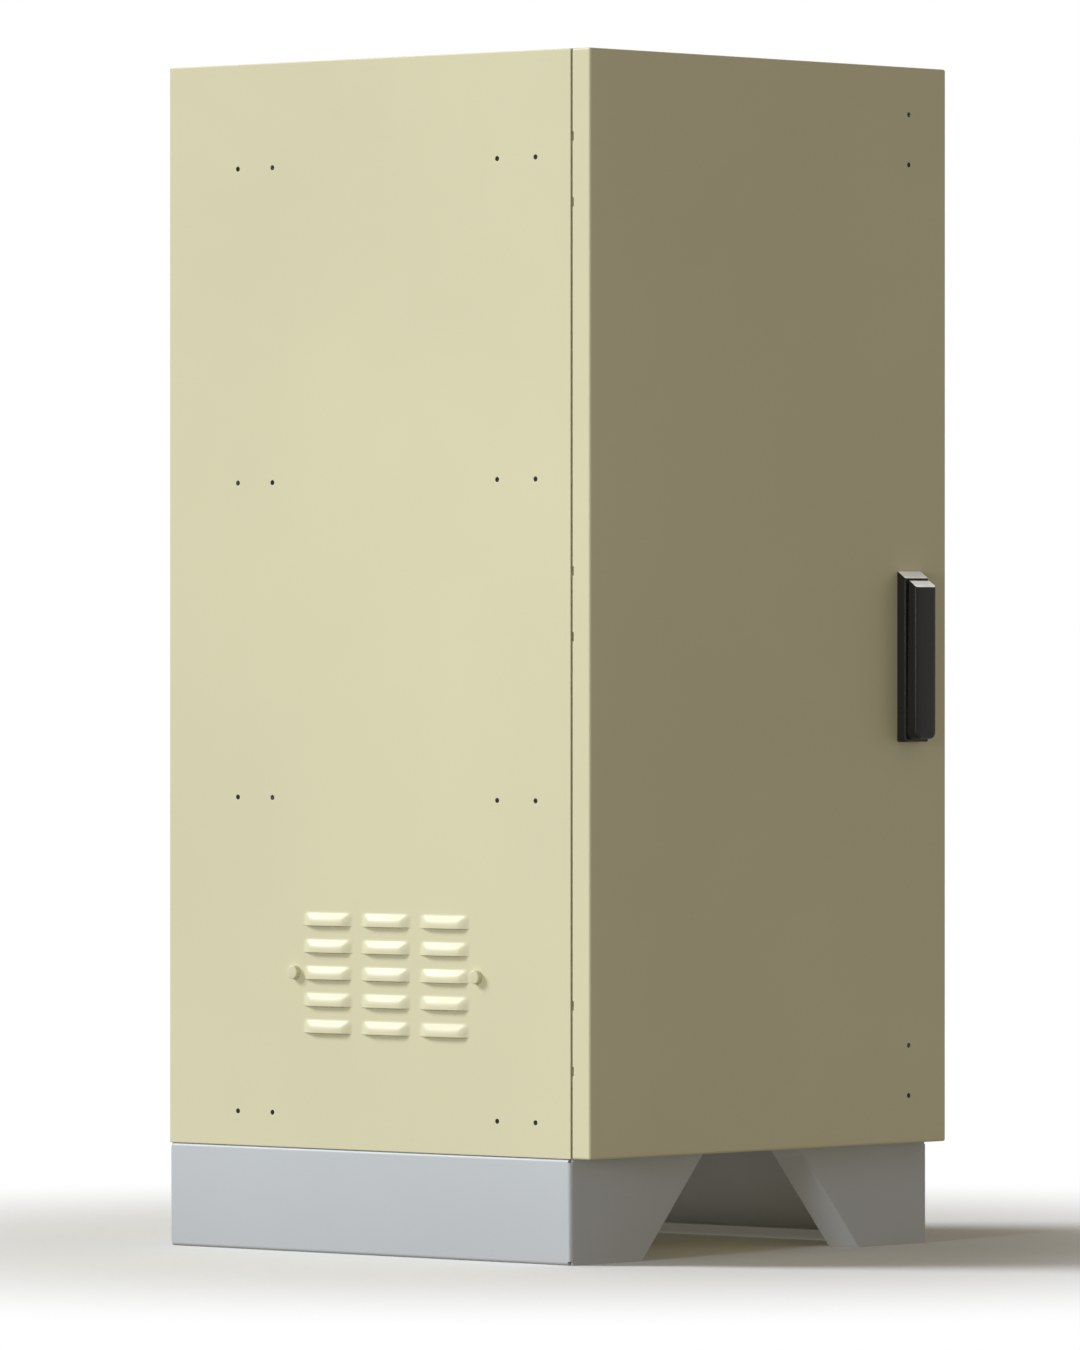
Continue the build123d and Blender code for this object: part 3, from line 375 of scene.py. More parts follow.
def plinth_foot(side, end):
    """A foot: a plan line round the corner, along the foot and back along its fold, carried up,
    while the fold walks inwards with the height. The corner's rows stop short at the reliefs."""
    plan = folded_line(
        [(0, fold_relief), (0, 0), (foot_bottom_width, 0), (foot_bottom_width, foot_flange)]
    )
    step_at = 1 + fold_steps + 1
    notch_end = np.array([[fold_relief + relief_edge, 0.0]])
    plan = np.concatenate([plan[:step_at], notch_end, plan[step_at:]])
    levels = np.linspace(0, plinth_height, foot_rows)
    walk = (foot_top_width - foot_bottom_width) * levels / plinth_height
    order = np.arange(len(plan))
    short = np.where(order < step_at, fold_relief, 0)
    lean = math.atan2(foot_top_width - foot_bottom_width, plinth_height)

    def carried(line):
        shape = np.zeros((len(levels), len(line), 3))
        shape[..., 0] = side * (half_width - line[:, 0] - walk[:, None] * (order > step_at))
        shape[..., 1] = end * (half_depth - line[:, 1])
        shape[..., 2] = np.clip(levels[:, None], short, plinth_height - short)
        return shape

    inner = beside(plan, plinth_sheet)
    inner[-2:, 0] = plan[-2:, 0] - plinth_sheet / math.cos(lean)
    return shell(carried(plan), carried(inner))


drill_reach = 2 * plinth_sheet
anchor_drill = turned(
    [(0, -drill_reach), (anchor_radius, -drill_reach), (anchor_radius, drill_reach), (0, drill_reach)],
    steps=32,
)
for side_name, side in (("left", -1), ("right", 1)):
    sheet_parts = [plinth_channel(side), plinth_foot(side, -1), plinth_foot(side, 1)]
    anchor_places = [(side * (half_width - anchor_inset), end * anchor_reach, 0) for end in (-1, 1)]
    anchor_holes = stood(anchor_drill, (0, 0, 1), anchor_places)
    plinth_mesh = bored(new_mesh(f"plinth_sheet_{side_name}", sheet_parts), anchor_holes)
    new_piece(plinth_mesh, "grey_paint", "cabinet", f"plinth_{side_name}")

# Floor panel and gland plate: the floor is a pan of cream painted steel welded between the
# side panels, and a zinc-plated plate covers its cable opening, held by six round-head screws.
cabinet_cream = (0.730, 0.701, 0.474, 1.0)
pale_edge_cream = (0.80, 0.77, 0.56, 1.0)
zinc_grey = (0.60, 0.61, 0.62, 1.0)
rubbed_edge = (0.78, 0.77, 0.75, 1.0)
round_head_radius = 0.0045
small_shank_radius = 0.0025
gland_screw_length = 0.009
socket_share = 0.42
socket_floor_share = 0.3
brim_share = 0.35
crown_start_share = 0.15
round_lines = 6
painted_finish("cream_paint", cabinet_cream, pale_edge_cream, edge_width=0.0009)


def metal_grain_group():
    """Bare metal: soft clouds of tone, a fine grain in the gloss and small scratches in height."""
    group, given, made = new_group(
        "metal_grain",
        {"Colour": "Color", "Grain": "Float", "Gloss": "Float"},
        {"Colour": "Color", "Roughness": "Float", "Height": "Float"},
    )
    place = object_place(group)
    clouds = noise(group, place, scale=30.0, detail=5.0)
    grain = noise(group, place, scale=given["Grain"], detail=3.0)
    tone = ranged(group, clouds, 0.3, 0.7, low=0.86, high=1.08)
    tinted = put(group, "HueSaturation", {"Value": tone, "Color": given["Colour"]})
    swing = ranged(group, grain, 0.3, 0.7, low=-0.07, high=0.07)
    gloss = reckoned(group, "ADD", given["Gloss"], swing)
    set_inputs(group, made, {"Colour": tinted.outputs[0], "Roughness": gloss, "Height": grain})
    return group


metal_grain = metal_grain_group()


def metal_finish(name, colour, grain, gloss, edge_width):
    """Bare or plated steel: the metal's grain, brighter where its edges are rubbed."""
    grain_inputs = {"Colour": colour, "Grain": grain, "Gloss": gloss}
    edges = (rubbed_edge, edge_width, 0.5)
    worn_finish(name, metal_grain, grain_inputs, edges, (0.25, 0.00004), {"Metallic": 1.0})


metal_finish("zinc_steel", zinc_grey, grain=220.0, gloss=0.38, edge_width=0.0006)


def finish_nodes(finish, *names):
    """Gives carried-over nodes their finish."""
    for name in names:
        nodes[name].material_slots[0].material = finishes[finish]


def new_set(name, surface, axis, places, node, slot="zinc_steel", body="cabinet"):
    """One piece of equal fasteners: a copy of a surface at each place. It stands for a node."""
    new_piece(new_mesh(name, stood(surface, axis, places)), slot, body, node)


def round_screw(head_height, shank_length):
    """A round-head screw with a hexagon socket, from the socket's floor to the tip."""
    socket = socket_share * round_head_radius
    socket_floor = socket_floor_share * head_height
    brim = brim_share * head_height
    turn = np.linspace(crown_start_share, 1, round_lines) * math.pi / 2
    crown_radii = socket + (round_head_radius - socket) * np.sin(turn)
    crown_levels = brim + (head_height - brim) * np.cos(turn)
    return turned(
        [
            (0, socket_floor),
            (socket, socket_floor, 1),
            (socket, head_height, 1),
            *zip(crown_radii, crown_levels),
            (round_head_radius, 0),
            (small_shank_radius, 0),
            (small_shank_radius, -shank_length),
            (0, -shank_length),
        ]
    )


finish_nodes("cream_paint", "floor_panel", "roof_panel", "rear_panel")
finish_nodes("cream_paint", "right_side_panel", "front_frame")
finish_nodes("zinc_steel", "gland_plate")
gland_low, gland_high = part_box("gland_plate_screws")
gland_plate_low, gland_plate_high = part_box("gland_plate")
gland_places = [
    (x, y, gland_plate_high.z)
    for x in (gland_low.x + round_head_radius, 0, gland_high.x - round_head_radius)
    for y in (gland_low.y + round_head_radius, gland_high.y - round_head_radius)
]
gland_screw = round_screw(gland_high.z - gland_plate_high.z, gland_screw_length)
new_set("gland_screw_set", gland_screw, (0, 0, 1), gland_places, "gland_plate_screws")

# Plinth bolts and nuts: four zinc-plated hexagon bolts, dropped through the floor panel into
# the plinth's upper flanges, with nuts under them.
plinth_bolt_width = 0.017
plinth_bolt_radius = 0.005
plinth_bolt_reach_y = 0.200
nut_play = 0.0001
hexagon_face_share = 0.92
hexagon_seat_share = 0.95
hexagon_fall = 0.5
head_chamfer_share = 0.97
head_seat_share = 0.06
nut_chamfer_share = 0.04
tip_length_share = 0.3
tip_radius_share = 0.7


def hexagon_bolt(width, height, shank_radius, shank_length):
    """A hexagon bolt: a chamfered head, its washer face, the shank and a blunt tip."""
    flat = width / 2
    profile = [
        (0, height),
        (hexagon_face_share * flat, height),
        (flat, head_chamfer_share * height, 1, hexagon_fall),
        (flat, head_seat_share * height, 1),
        (hexagon_seat_share * flat, 0),
        (shank_radius, 0),
        (shank_radius, -shank_length + tip_length_share * shank_radius),
        (tip_radius_share * shank_radius, -shank_length),
        (0, -shank_length),
    ]
    return turned(profile)


def hexagon_nut(width, height, bore_radius):
    """A hexagon nut: its bore, a chamfer at both faces and the six flats, closed."""
    flat = width / 2
    profile = [
        (bore_radius, 0),
        (bore_radius, height),
        (hexagon_face_share * flat, height),
        (flat, (1 - nut_chamfer_share) * height, 1, hexagon_fall),
        (flat, nut_chamfer_share * height, 1, -hexagon_fall),
        (hexagon_face_share * flat, 0),
        (bore_radius, 0),
    ]
    return turned(profile)


plinth_bolt_low, plinth_bolt_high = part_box("plinth_bolts")
plinth_nut_low, plinth_nut_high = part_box("plinth_nuts")
floor_top = gland_plate_low.z
plinth_corners = [
    (x * (half_width - anchor_inset), y * plinth_bolt_reach_y) for x in (-1, 1) for y in (-1, 1)
]
plinth_bolt = hexagon_bolt(
    plinth_bolt_width,
    plinth_bolt_high.z - floor_top,
    plinth_bolt_radius,
    floor_top - plinth_bolt_low.z,
)
plinth_nut_height = plinth_nut_high.z - plinth_nut_low.z
plinth_nut = hexagon_nut(plinth_bolt_width, plinth_nut_height, plinth_bolt_radius + nut_play)
for set_name, surface, level, node in (
    ("plinth_bolt_set", plinth_bolt, floor_top, "plinth_bolts"),
    ("plinth_nut_set", plinth_nut, plinth_nut_low.z, "plinth_nuts"),
):
    corner_places = [(*corner, level) for corner in plinth_corners]
    new_set(set_name, surface, (0, 0, 1), corner_places, node)

# Left side panel: cream painted sheet steel with three columns of five louvres. Each louvre is
# lanced along its lower edge and pressed outwards, so the sheet runs on over its top and ends.
wall_sheet = 0.002
wall_edge_radius = 0.0008
wall_edge_shares = np.array([0, 0.1, 0.3, 0.6, 1.0, 1.5])
louvre_columns = 3
louvre_rows = 5
louvre_pitch_y = 0.087
louvre_pitch_z = 0.0296
louvre_length = 0.070
louvre_height = 0.0144
louvre_slope = 0.008
louvre_taper = 0.010
louvre_blend = 0.0032
louvre_end_blend = 0.0030
louvre_root = 0.0012
louvre_end_lines = 13
louvre_middle_lines = 3
louvre_front_lines = 4
louvre_top_lines = 16
flat_margin = 0.001
vent_y = -0.0285
vent_z = 0.309
screw_row_low = 0.153
screw_row_pitch = 0.3487
screw_columns = (-0.249, -0.193, 0.1425, 0.195)
screw_head_radius = 0.0029
screw_shank_radius = 0.0020
screw_play = 0.0001
drill_overrun = 0.0006
panel_low, panel_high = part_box("left_side_panel")
louvre_reach = -half_width - panel_low.x
screw_rows = [screw_row_low + row * screw_row_pitch for row in range(4)]


def least(first, second, width):
    """The lesser of two heights, with a round of the given width where they meet."""
    short = np.maximum(width - np.abs(first - second), 0)
    return np.minimum(first, second) - short**2 / (4 * width)


def louvred_sheet():
    """The panel's outer face on a grid of depth and height lines. Its height over the sheet is
    the least of the louvre's sloped top, front and tapered end, rounded where they meet and at
    the root. At each lanced edge two lines lie together: one on the lip and one on the sheet."""
    edge_lines = wall_edge_radius * wall_edge_shares
    columns = vent_y + (np.arange(louvre_columns) - (louvre_columns - 1) / 2) * louvre_pitch_y
    near = np.linspace(-1, 1, louvre_end_lines)[:, None]
    end_run = louvre_root * louvre_taper / louvre_reach
    end_lines = louvre_length / 2 - louvre_taper / 2 + near * (louvre_taper / 2 + end_run)
    middle_lines = np.linspace(0, louvre_length / 2 - 2 * louvre_taper, louvre_middle_lines)
    far_line = end_lines.max(keepdims=True) + flat_margin
    half_lines = np.concatenate([end_lines, middle_lines[:, None], far_line])
    both_halves = np.concatenate([columns + half_lines, columns - half_lines]).ravel()
    depth_edges = np.concatenate([panel_low.y + edge_lines, panel_high.y - edge_lines])
    depth_lines = np.unique(np.concatenate([both_halves, depth_edges]).round(6))

    rows = vent_z + (np.arange(louvre_rows) - (louvre_rows - 1) / 2) * louvre_pitch_z
    lip_levels = rows - louvre_height / 2
    shoulder = louvre_height / 2 - louvre_slope * (1 + louvre_blend / louvre_reach)
    root_line = louvre_height / 2 + louvre_root * louvre_slope / louvre_reach
    front_rises = np.linspace(-louvre_height / 2, shoulder, louvre_front_lines)[:-1]
    top_rises = np.linspace(shoulder, root_line, louvre_top_lines)
    rises = np.concatenate([front_rises, top_rises, [root_line + flat_margin]])
    level_edges = np.concatenate([panel_low.z + edge_lines, panel_high.z - edge_lines])
    flat_levels = np.concatenate([lip_levels, lip_levels - flat_margin, level_edges])
    levels = np.concatenate([(rows[:, None] + rises).ravel(), flat_levels])
    clear = np.full(len(flat_levels), 2 * louvre_pitch_z)
    own_rise = np.concatenate([np.tile(rises, louvre_rows), clear])
    order = np.lexsort((-own_rise, levels.round(6)))
    levels = levels[order]

    depth, level = np.meshgrid(depth_lines, levels)
    along = np.min(np.abs(depth_lines[:, None] - columns), axis=1)
    top = (louvre_height / 2 - own_rise[order][:, None]) * louvre_reach / louvre_slope
    end = (louvre_length / 2 - along) * louvre_reach / louvre_taper
    height = least(least(top, louvre_reach, louvre_blend), end, louvre_end_blend)
    height = -least(-height, 0, louvre_root)
    rim = np.minimum(
        np.minimum(depth - panel_low.y, panel_high.y - depth),
        np.minimum(level - panel_low.z, panel_high.z - level),
    )
    short = np.maximum(wall_edge_radius - rim, 0)
    height = height - wall_edge_radius + np.sqrt(wall_edge_radius**2 - short**2)
    points = np.stack([-half_width - height, depth, level], axis=-1)
    faces = grid_faces(len(levels), len(depth_lines))
    row_of_face = np.arange(len(faces)) // (len(depth_lines) - 1)
    lanced = np.diff(levels) < sliver_reach
    return points.reshape(-1, 3), faces[~lanced[row_of_face]][:, ::-1]


def thickened(mesh, thickness):
    """The mesh as a closed sheet: its faces, the same faces inset by the thickness, and the rim."""
    return modified(mesh, "SOLIDIFY", thickness=thickness, offset=-1)


wall_screw_places = [(-half_width, y, z) for y in screw_columns for z in screw_rows]
seat_bore = screw_shank_radius + screw_play
wall_seat = turned(
    [
        (0, drill_overrun),
        (screw_head_radius + screw_play + drill_overrun, drill_overrun),
        (seat_bore, screw_shank_radius - screw_head_radius),
        (seat_bore, -2 * wall_sheet),
        (0, -2 * wall_sheet),
    ]
)
louvred_mesh = new_mesh("louvred_side_panel", [louvred_sheet()], outward=False)
louvred_mesh = thickened(louvred_mesh, wall_sheet)
louvred_mesh = bored(louvred_mesh, stood(wall_seat, (-1, 0, 0), wall_screw_places))
new_piece(louvred_mesh, "cream_paint", "cabinet", "left_side_panel", sharp_angle=40.0)

# Vent bolts: two flat-headed steel bolts painted with the panel, one at each end of the louvre
# field. They clamp the filter frame from inside with zinc-plated nuts.
vent_head_radius = 0.0075
vent_head_edge = 0.001
vent_head_crown = 0.0003
crown_line_radius = 0.0045
crown_line_drop = 0.00012
vent_shank_radius = 0.003
vent_shank_length = 0.0105
vent_bolt_reach = 0.1355
vent_nut_width = 0.010
vent_head_height = -half_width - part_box("vent_bolts")[0].x
vent_rim_level = vent_head_height - vent_head_crown - vent_head_edge
vent_rim_turn = np.linspace(0, math.pi / 2, round_lines)
vent_rim_radii = vent_head_radius - vent_head_edge * (1 - np.sin(vent_rim_turn))
vent_rim_levels = vent_rim_level + vent_head_edge * np.cos(vent_rim_turn)
vent_bolt = turned(
    [
        (0, vent_head_height),
        (crown_line_radius, vent_head_height - crown_line_drop),
        *zip(vent_rim_radii, vent_rim_levels),
        (vent_head_radius, 0),
        (vent_shank_radius, 0),
        (vent_shank_radius, -vent_shank_length),
        (0, -vent_shank_length),
    ],
    steps=40,
)
vent_places = [(-half_width, vent_y + end * vent_bolt_reach, vent_z) for end in (-1, 1)]
new_set("vent_bolt_set", vent_bolt, (-1, 0, 0), vent_places, "vent_bolts", slot="cream_paint")
vent_nut_low, vent_nut_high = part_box("vent_nuts")
vent_nut_height = vent_nut_high.x - vent_nut_low.x
vent_nut = hexagon_nut(vent_nut_width, vent_nut_height, vent_shank_radius + nut_play)
vent_nut_places = [(vent_nut_low.x, y, z) for x, y, z in vent_places]
new_set("vent_nut_set", vent_nut, (1, 0, 0), vent_nut_places, "vent_nuts")

# Filter: a mat of pale non-woven fibre behind the louvres, lying in a zinc-plated frame that is
# clamped on the vent bolts.
fibre_shade = (0.42, 0.42, 0.40, 1.0)
fibre_pale = (0.80, 0.80, 0.77, 1.0)
mat_columns = 61
mat_rows = 41
mat_half_share = 0.45
mat_rim_share = 0.75
mat_rim_width = 0.006
mat_wave_share = 0.04
felt_tree, felt = new_finish("filter_felt")
fibre_run = {"Vector": object_place(felt_tree), "Scale": (1.0, 0.35, 1.0)}
fibre_lay = put(felt_tree, "Mapping", fibre_run)
fibres = noise(felt_tree, fibre_lay.outputs[0], scale=900.0, detail=6.0)
set_inputs(
    felt_tree,
    felt,
    {
        "Base Color": mixed(felt_tree, fibres, fibre_shade, fibre_pale),
        "Normal": bumped(felt_tree, fibres, 0.8, 0.0008),
        "Roughness": 0.95,
        "Sheen Weight": 0.25,
    },
)
mat_low, mat_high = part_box("filter_mat")


def fibre_mat():
    """A soft slab: two faces on a grid of depth and height, which draw together with the root of
    the distance to the rim, and rise and fall together in two crossed waves that wander."""
    u, v = np.meshgrid(np.linspace(0, 1, mat_columns), np.linspace(0, 1, mat_rows))
    span_y = mat_high.y - mat_low.y
    span_z = mat_high.z - mat_low.z
    rim = np.minimum(np.minimum(u, 1 - u) * span_y, np.minimum(v, 1 - v) * span_z)
    full = mat_half_share * (mat_high.x - mat_low.x)
    rim_rise = np.minimum(rim / mat_rim_width, 1) ** 0.5
    swell = full * (mat_rim_share + (1 - mat_rim_share) * rim_rise)
    ripple = np.sin(37 * u + 5 * np.sin(9 * v)) + np.sin(29 * v + 4 * np.sin(11 * u))
    middle = (mat_low.x + mat_high.x) / 2 - mat_wave_share * full * ripple
    depth = mat_low.y + span_y * u
    level = mat_low.z + span_z * v
    outer = np.stack([middle - swell, depth, level], axis=-1)
    inner = np.stack([middle + swell, depth, level], axis=-1)
    return shell(outer, inner)


new_piece(new_mesh("fibre_mat", [fibre_mat()]), "filter_felt", "cabinet", "filter_mat")
finish_nodes("zinc_steel", "filter_frame")

# Rails: zinc-plated depth rails are screwed to the side walls from outside with black
# countersunk screws, and the rack rails with their square holes are bolted to the depth rails.
black_grey = (0.030, 0.029, 0.027, 1.0)
sunk_screw_length = 0.009
sunk_socket_radius = 0.00145
sunk_socket_depth = 0.0007
sunk_face_depth = 0.00005
sunk_rim_width = 0.00015
sunk_rim_depth = 0.0002
rail_bolt_rise = 0.030
rail_bolt_columns = (-0.222, 0.167)
rail_bolt_width = 0.013
rail_bolt_radius = 0.004
rail_bolt_length = 0.014
metal_finish("black_steel", black_grey, grain=300.0, gloss=0.46, edge_width=0.0003)
for side_name in ("left", "right"):
    finish_nodes("zinc_steel", *[f"depth_rail_{side_name}_{row}" for row in (1, 2, 3, 4)])
    finish_nodes("zinc_steel", f"rack_rail_front_{side_name}", f"rack_rail_rear_{side_name}")
wall_screw = turned(
    [
        (0, -sunk_socket_depth),
        (sunk_socket_radius, -sunk_socket_depth, 1),
        (sunk_socket_radius, -sunk_face_depth, 1),
        (screw_head_radius - sunk_rim_width, -sunk_face_depth),
        (screw_head_radius, -sunk_rim_depth),
        (screw_shank_radius, screw_shank_radius - screw_head_radius),
        (screw_shank_radius, -sunk_screw_length),
        (0, -sunk_screw_length),
    ],
    steps=30,
)
for side_name, side in (("left", -1), ("right", 1)):
    set_name = f"wall_screws_{side_name}"
    node = f"rail_screws_{side_name}"
    screw_places = [(side * half_width, y, z) for y in screw_columns for z in screw_rows]
    new_set(set_name, wall_screw, (side, 0, 0), screw_places, node, slot="black_steel")

rack_face_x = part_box("depth_rail_right_1")[0].x + wall_sheet
rail_bolt_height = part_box("rail_bolts")[1].x - rack_face_x
rail_bolt = hexagon_bolt(rail_bolt_width, rail_bolt_height, rail_bolt_radius, rail_bolt_length)
rail_bolt_parts = []
for side in (-1, 1):
    bolt_places = [
        (side * rack_face_x, y, row + rail_bolt_rise) for y in rail_bolt_columns for row in screw_rows
    ]
    rail_bolt_parts += stood(rail_bolt, (side, 0, 0), bolt_places)
rail_bolt_mesh = new_mesh("rail_bolt_set", rail_bolt_parts)
new_piece(rail_bolt_mesh, "zinc_steel", "cabinet", "rail_bolts")

# Hinges: three concealed hinges of zinc-plated steel. A leaf on the front frame carries two
# ears, a leaf on the door carries the knuckle, and a bright steel pin runs through all three.
bright_grey = (0.68, 0.67, 0.65, 1.0)
hinge_middle = 0.715
hinge_pitch = 0.4695
leaf_sheet = 0.003
pin_radius = 0.002
pin_head_radius = 0.0032
pin_head_height = 0.0015
pin_head_edge = 0.0004
pin_head_top_share = 0.8
pin_length = 0.082
pin_tip = 0.0005
pin_tip_share = 0.6
hinge_screw_reach = 0.020
hinge_screw_length = 0.007
metal_finish("bright_steel", bright_grey, grain=420.0, gloss=0.28, edge_width=0.0005)
for place_name in ("lower", "middle", "upper"):
    finish_nodes("zinc_steel", f"hinge_{place_name}_body_leaf", f"hinge_{place_name}_door_leaf")
pin_low, pin_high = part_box("hinge_pins")
hinge_pin = turned(
    [
        (0, 0),
        (pin_head_top_share * pin_head_radius, 0),
        (pin_head_radius, -pin_head_edge),
        (pin_head_radius, -pin_head_height),
        (pin_radius, -pin_head_height),
        (pin_radius, -pin_length + pin_tip),
        (pin_tip_share * pin_radius, -pin_length),
        (0, -pin_length),
    ]
)
pin_x = (pin_low.x + pin_high.x) / 2
pin_y = (pin_low.y + pin_high.y) / 2
pin_places = [(pin_x, pin_y, pin_high.z - step * hinge_pitch) for step in range(3)]
new_set("hinge_pin_set", hinge_pin, (0, 0, 1), pin_places, "hinge_pins", slot="bright_steel")
hinge_screw_low, hinge_screw_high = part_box("hinge_screws")
leaf_front = -half_depth - leaf_sheet
hinge_screw_x = (hinge_screw_low.x + hinge_screw_high.x) / 2
hinge_screw_places = [
    (hinge_screw_x, leaf_front, hinge_middle + step * hinge_pitch + end * hinge_screw_reach)
    for step in (-1, 0, 1)
    for end in (-1, 1)
]
hinge_screw = round_screw(leaf_front - hinge_screw_low.y, hinge_screw_length)
new_set("hinge_screw_set", hinge_screw, (0, -1, 0), hinge_screw_places, "hinge_screws")

# Door: a pan of cream painted steel with returns on all four sides, stiffened inside by two
# upright hat sections. Four black screws near its free edge hold the rod guides.
guide_levels = (1.262, 1.206, 0.224, 0.168)
finish_nodes("cream_paint", "door_panel", "door_stiffener_left", "door_stiffener_right")
guide_low, guide_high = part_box("guide_screws")
door_front = guide_low.y
lock_x = (guide_low.x + guide_high.x) / 2
guide_places = [(lock_x, door_front, level) for level in guide_levels]
new_set("guide_screw_set", wall_screw, (0, -1, 0), guide_places, "guide_screws", "black_steel", "door")

# Door gasket: a strip of black foam rubber, glued round the inside of the door skin opposite
# the frame's sealing rim, with a rounded back and its corners bent round.
pore_black = (0.012, 0.012, 0.012, 1.0)
foam_black = (0.034, 0.034, 0.035, 1.0)
gasket_width = 0.014
gasket_corner = 0.020
gasket_back_lines = 13
rubber_tree, rubber = new_finish("seal_rubber")
pore_inputs = {"Vector": object_place(rubber_tree), "Scale": 1100.0}
pores = put(rubber_tree, "TexVoronoi", pore_inputs).outputs["Distance"]
set_inputs(
    rubber_tree,
    rubber,
    {
        "Base Color": mixed(rubber_tree, pores, pore_black, foam_black),
        "Normal": bumped(rubber_tree, pores, 0.6, 0.0004),
        "Roughness": 0.82,
    },
)
gasket_low, gasket_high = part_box("door_gasket")


def rounded_rectangle(half_x, low_z, high_z, low_radius, high_radius, steps=8):
    """A closed outline in the door's plane, anticlockwise from the lower right corner, with an
    arc at each corner."""
    angle = np.linspace(0, math.pi / 2, steps + 1)
    stretches = []
    for turn, x_side, z, radius, up in (
        (-1, 1, low_z, low_radius, 1),
        (0, 1, high_z, high_radius, -1),
        (1, -1, high_z, high_radius, -1),
        (2, -1, low_z, low_radius, 1),
    ):
        swing = angle + turn * math.pi / 2
        x = x_side * (half_x - radius) + radius * np.cos(swing)
        stretches.append(np.stack([x, z + up * radius + radius * np.sin(swing)], axis=-1))
    return np.concatenate(stretches)


def foam_ring():
    """A rounded section carried round the door: each of its points follows the outline at its own
    distance from the ring's outer edge."""
    bulge = np.linspace(0, math.pi, gasket_back_lines)
    base = gasket_low.y
    crown = gasket_high.y
    shoulder = (base + crown) / 2
    inset = np.concatenate([[0], gasket_width / 2 * (1 - np.cos(bulge)), [gasket_width]])
    depth = np.concatenate([[base], shoulder + (crown - shoulder) * np.sin(bulge), [base]])
    rings = []
    for aside, y in zip(inset, depth):
        corner = gasket_corner - aside
        outline = rounded_rectangle(
            gasket_high.x - aside, gasket_low.z + aside, gasket_high.z - aside, corner, corner
        )
        rings.append(np.stack([outline[:, 0], np.full(len(outline), y), outline[:, 1]], axis=-1))
    points = np.stack([*rings, rings[0]])
    return points.reshape(-1, 3), grid_faces(*points.shape[:2], ring=True)


new_piece(new_mesh("foam_gasket", [foam_ring()]), "seal_rubber", "door", "door_gasket")

# Swing handle: a black moulded housing on the door and a hollow moulded lever folded down in
# front of it. Both have a sloped top. The lever tips out on a steel pin and then turns.
plastic_black = (0.026, 0.026, 0.024, 1.0)
plastic_rubbed = (0.040, 0.040, 0.038, 1.0)
slope_share = 0.703
housing_edge = 0.0015
housing_recess = 0.0008
housing_border = 0.0016
housing_wall = 0.002
housing_corner = 0.002
housing_edge_lines = 5
lever_edge = 0.0032
lever_edge_lines = 7
lever_corner = 0.008
lever_top_corner = 0.0022
lever_crown = 0.0006
lever_draft = 0.02
lever_wall = 0.0023
lever_side_share = 0.45
lever_front_shares = (0.3, 0.6, 1.0)
lever_pin_z = 0.735
lever_lift = math.radians(20.0)
plastic_tree, plastic = new_finish("black_plastic")
plastic_place = object_place(plastic_tree)
mould_grain = noise(plastic_tree, plastic_place, scale=1500.0, detail=2.0)
rub = noise(plastic_tree, plastic_place, scale=45.0, detail=4.0)
plastic_edges = put(plastic_tree, "Group", {"Width": 0.0008}, node_tree=worn_edges).outputs
set_inputs(
    plastic_tree,
    plastic,
    {
        "Base Color": mixed(plastic_tree, plastic_edges["Mask"], plastic_black, plastic_rubbed),
        "Roughness": ranged(plastic_tree, rub, 0.3, 0.7, low=0.26, high=0.36),
        "Normal": bumped(plastic_tree, mould_grain, 0.3, 0.00006, Normal=plastic_edges["Normal"]),
        "Specular IOR Level": 0.14,
    },
)
housing_low, housing_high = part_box("handle_housing")
lever_low, lever_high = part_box("handle_lever")
housing_half = (housing_high.x - housing_low.x) / 2
lever_half = (lever_high.x - lever_low.x) / 2
lever_rear = lever_high.y


def slope_level(y):
    """The height of the sloped top at a depth."""
    return housing_high.z - slope_share * (door_front - y)


def moulded_shell(rings):
    """Outlines carried forward from the open back: each ring gives its depth line, half width,
    lower and upper level and corner radii. The last one closes on the middle line."""
    lines = []
    for depth_of, half_x, low_z, high_z, low_radius, high_radius in rings:
        x, level = rounded_rectangle(half_x, low_z, high_z, low_radius, high_radius).T
        lines.append(np.stack([lock_x + x, depth_of(level), level], axis=-1))
    points = np.stack(lines)
    return points.reshape(-1, 3), grid_faces(*points.shape[:2], ring=True)


def flat_at(y):
    """A depth line that is the same at every height."""
    return lambda level: np.full(len(level), y)


def housing_rings():
    """The housing from the door skin forward: straight walls, a rounded edge, then a shallow
    recess that the lever lies over."""
    front = housing_low.y
    rows = [(door_front, 0)]
    for turn in np.linspace(0, math.pi / 2, housing_edge_lines):
        y = front + housing_edge * (1 - math.sin(turn))
        rows.append((y, housing_edge * (1 - math.cos(turn))))
    border = housing_edge + housing_border
    rows.append((front, border))
    rows.append((front + housing_recess, border + housing_recess))
    rows.append((front + housing_recess, housing_half))
    rings = []
    for y, aside in rows:
        corner = max(housing_corner - aside, 0)
        high_z = slope_level(y) - max(aside - housing_edge, 0)
        rings.append((flat_at(y), housing_half - aside, housing_low.z + aside, high_z, corner, corner))
    return rings


lever_rim_rise = (slope_level(lever_rear) - lever_pin_z) / (1 + slope_share * math.tan(lever_lift))


def leaning_rim(level):
    """The lever's back edge: straight below the pin, and leaning away above it."""
    return lever_rear - math.tan(lever_lift) * np.maximum(level - lever_pin_z, 0)


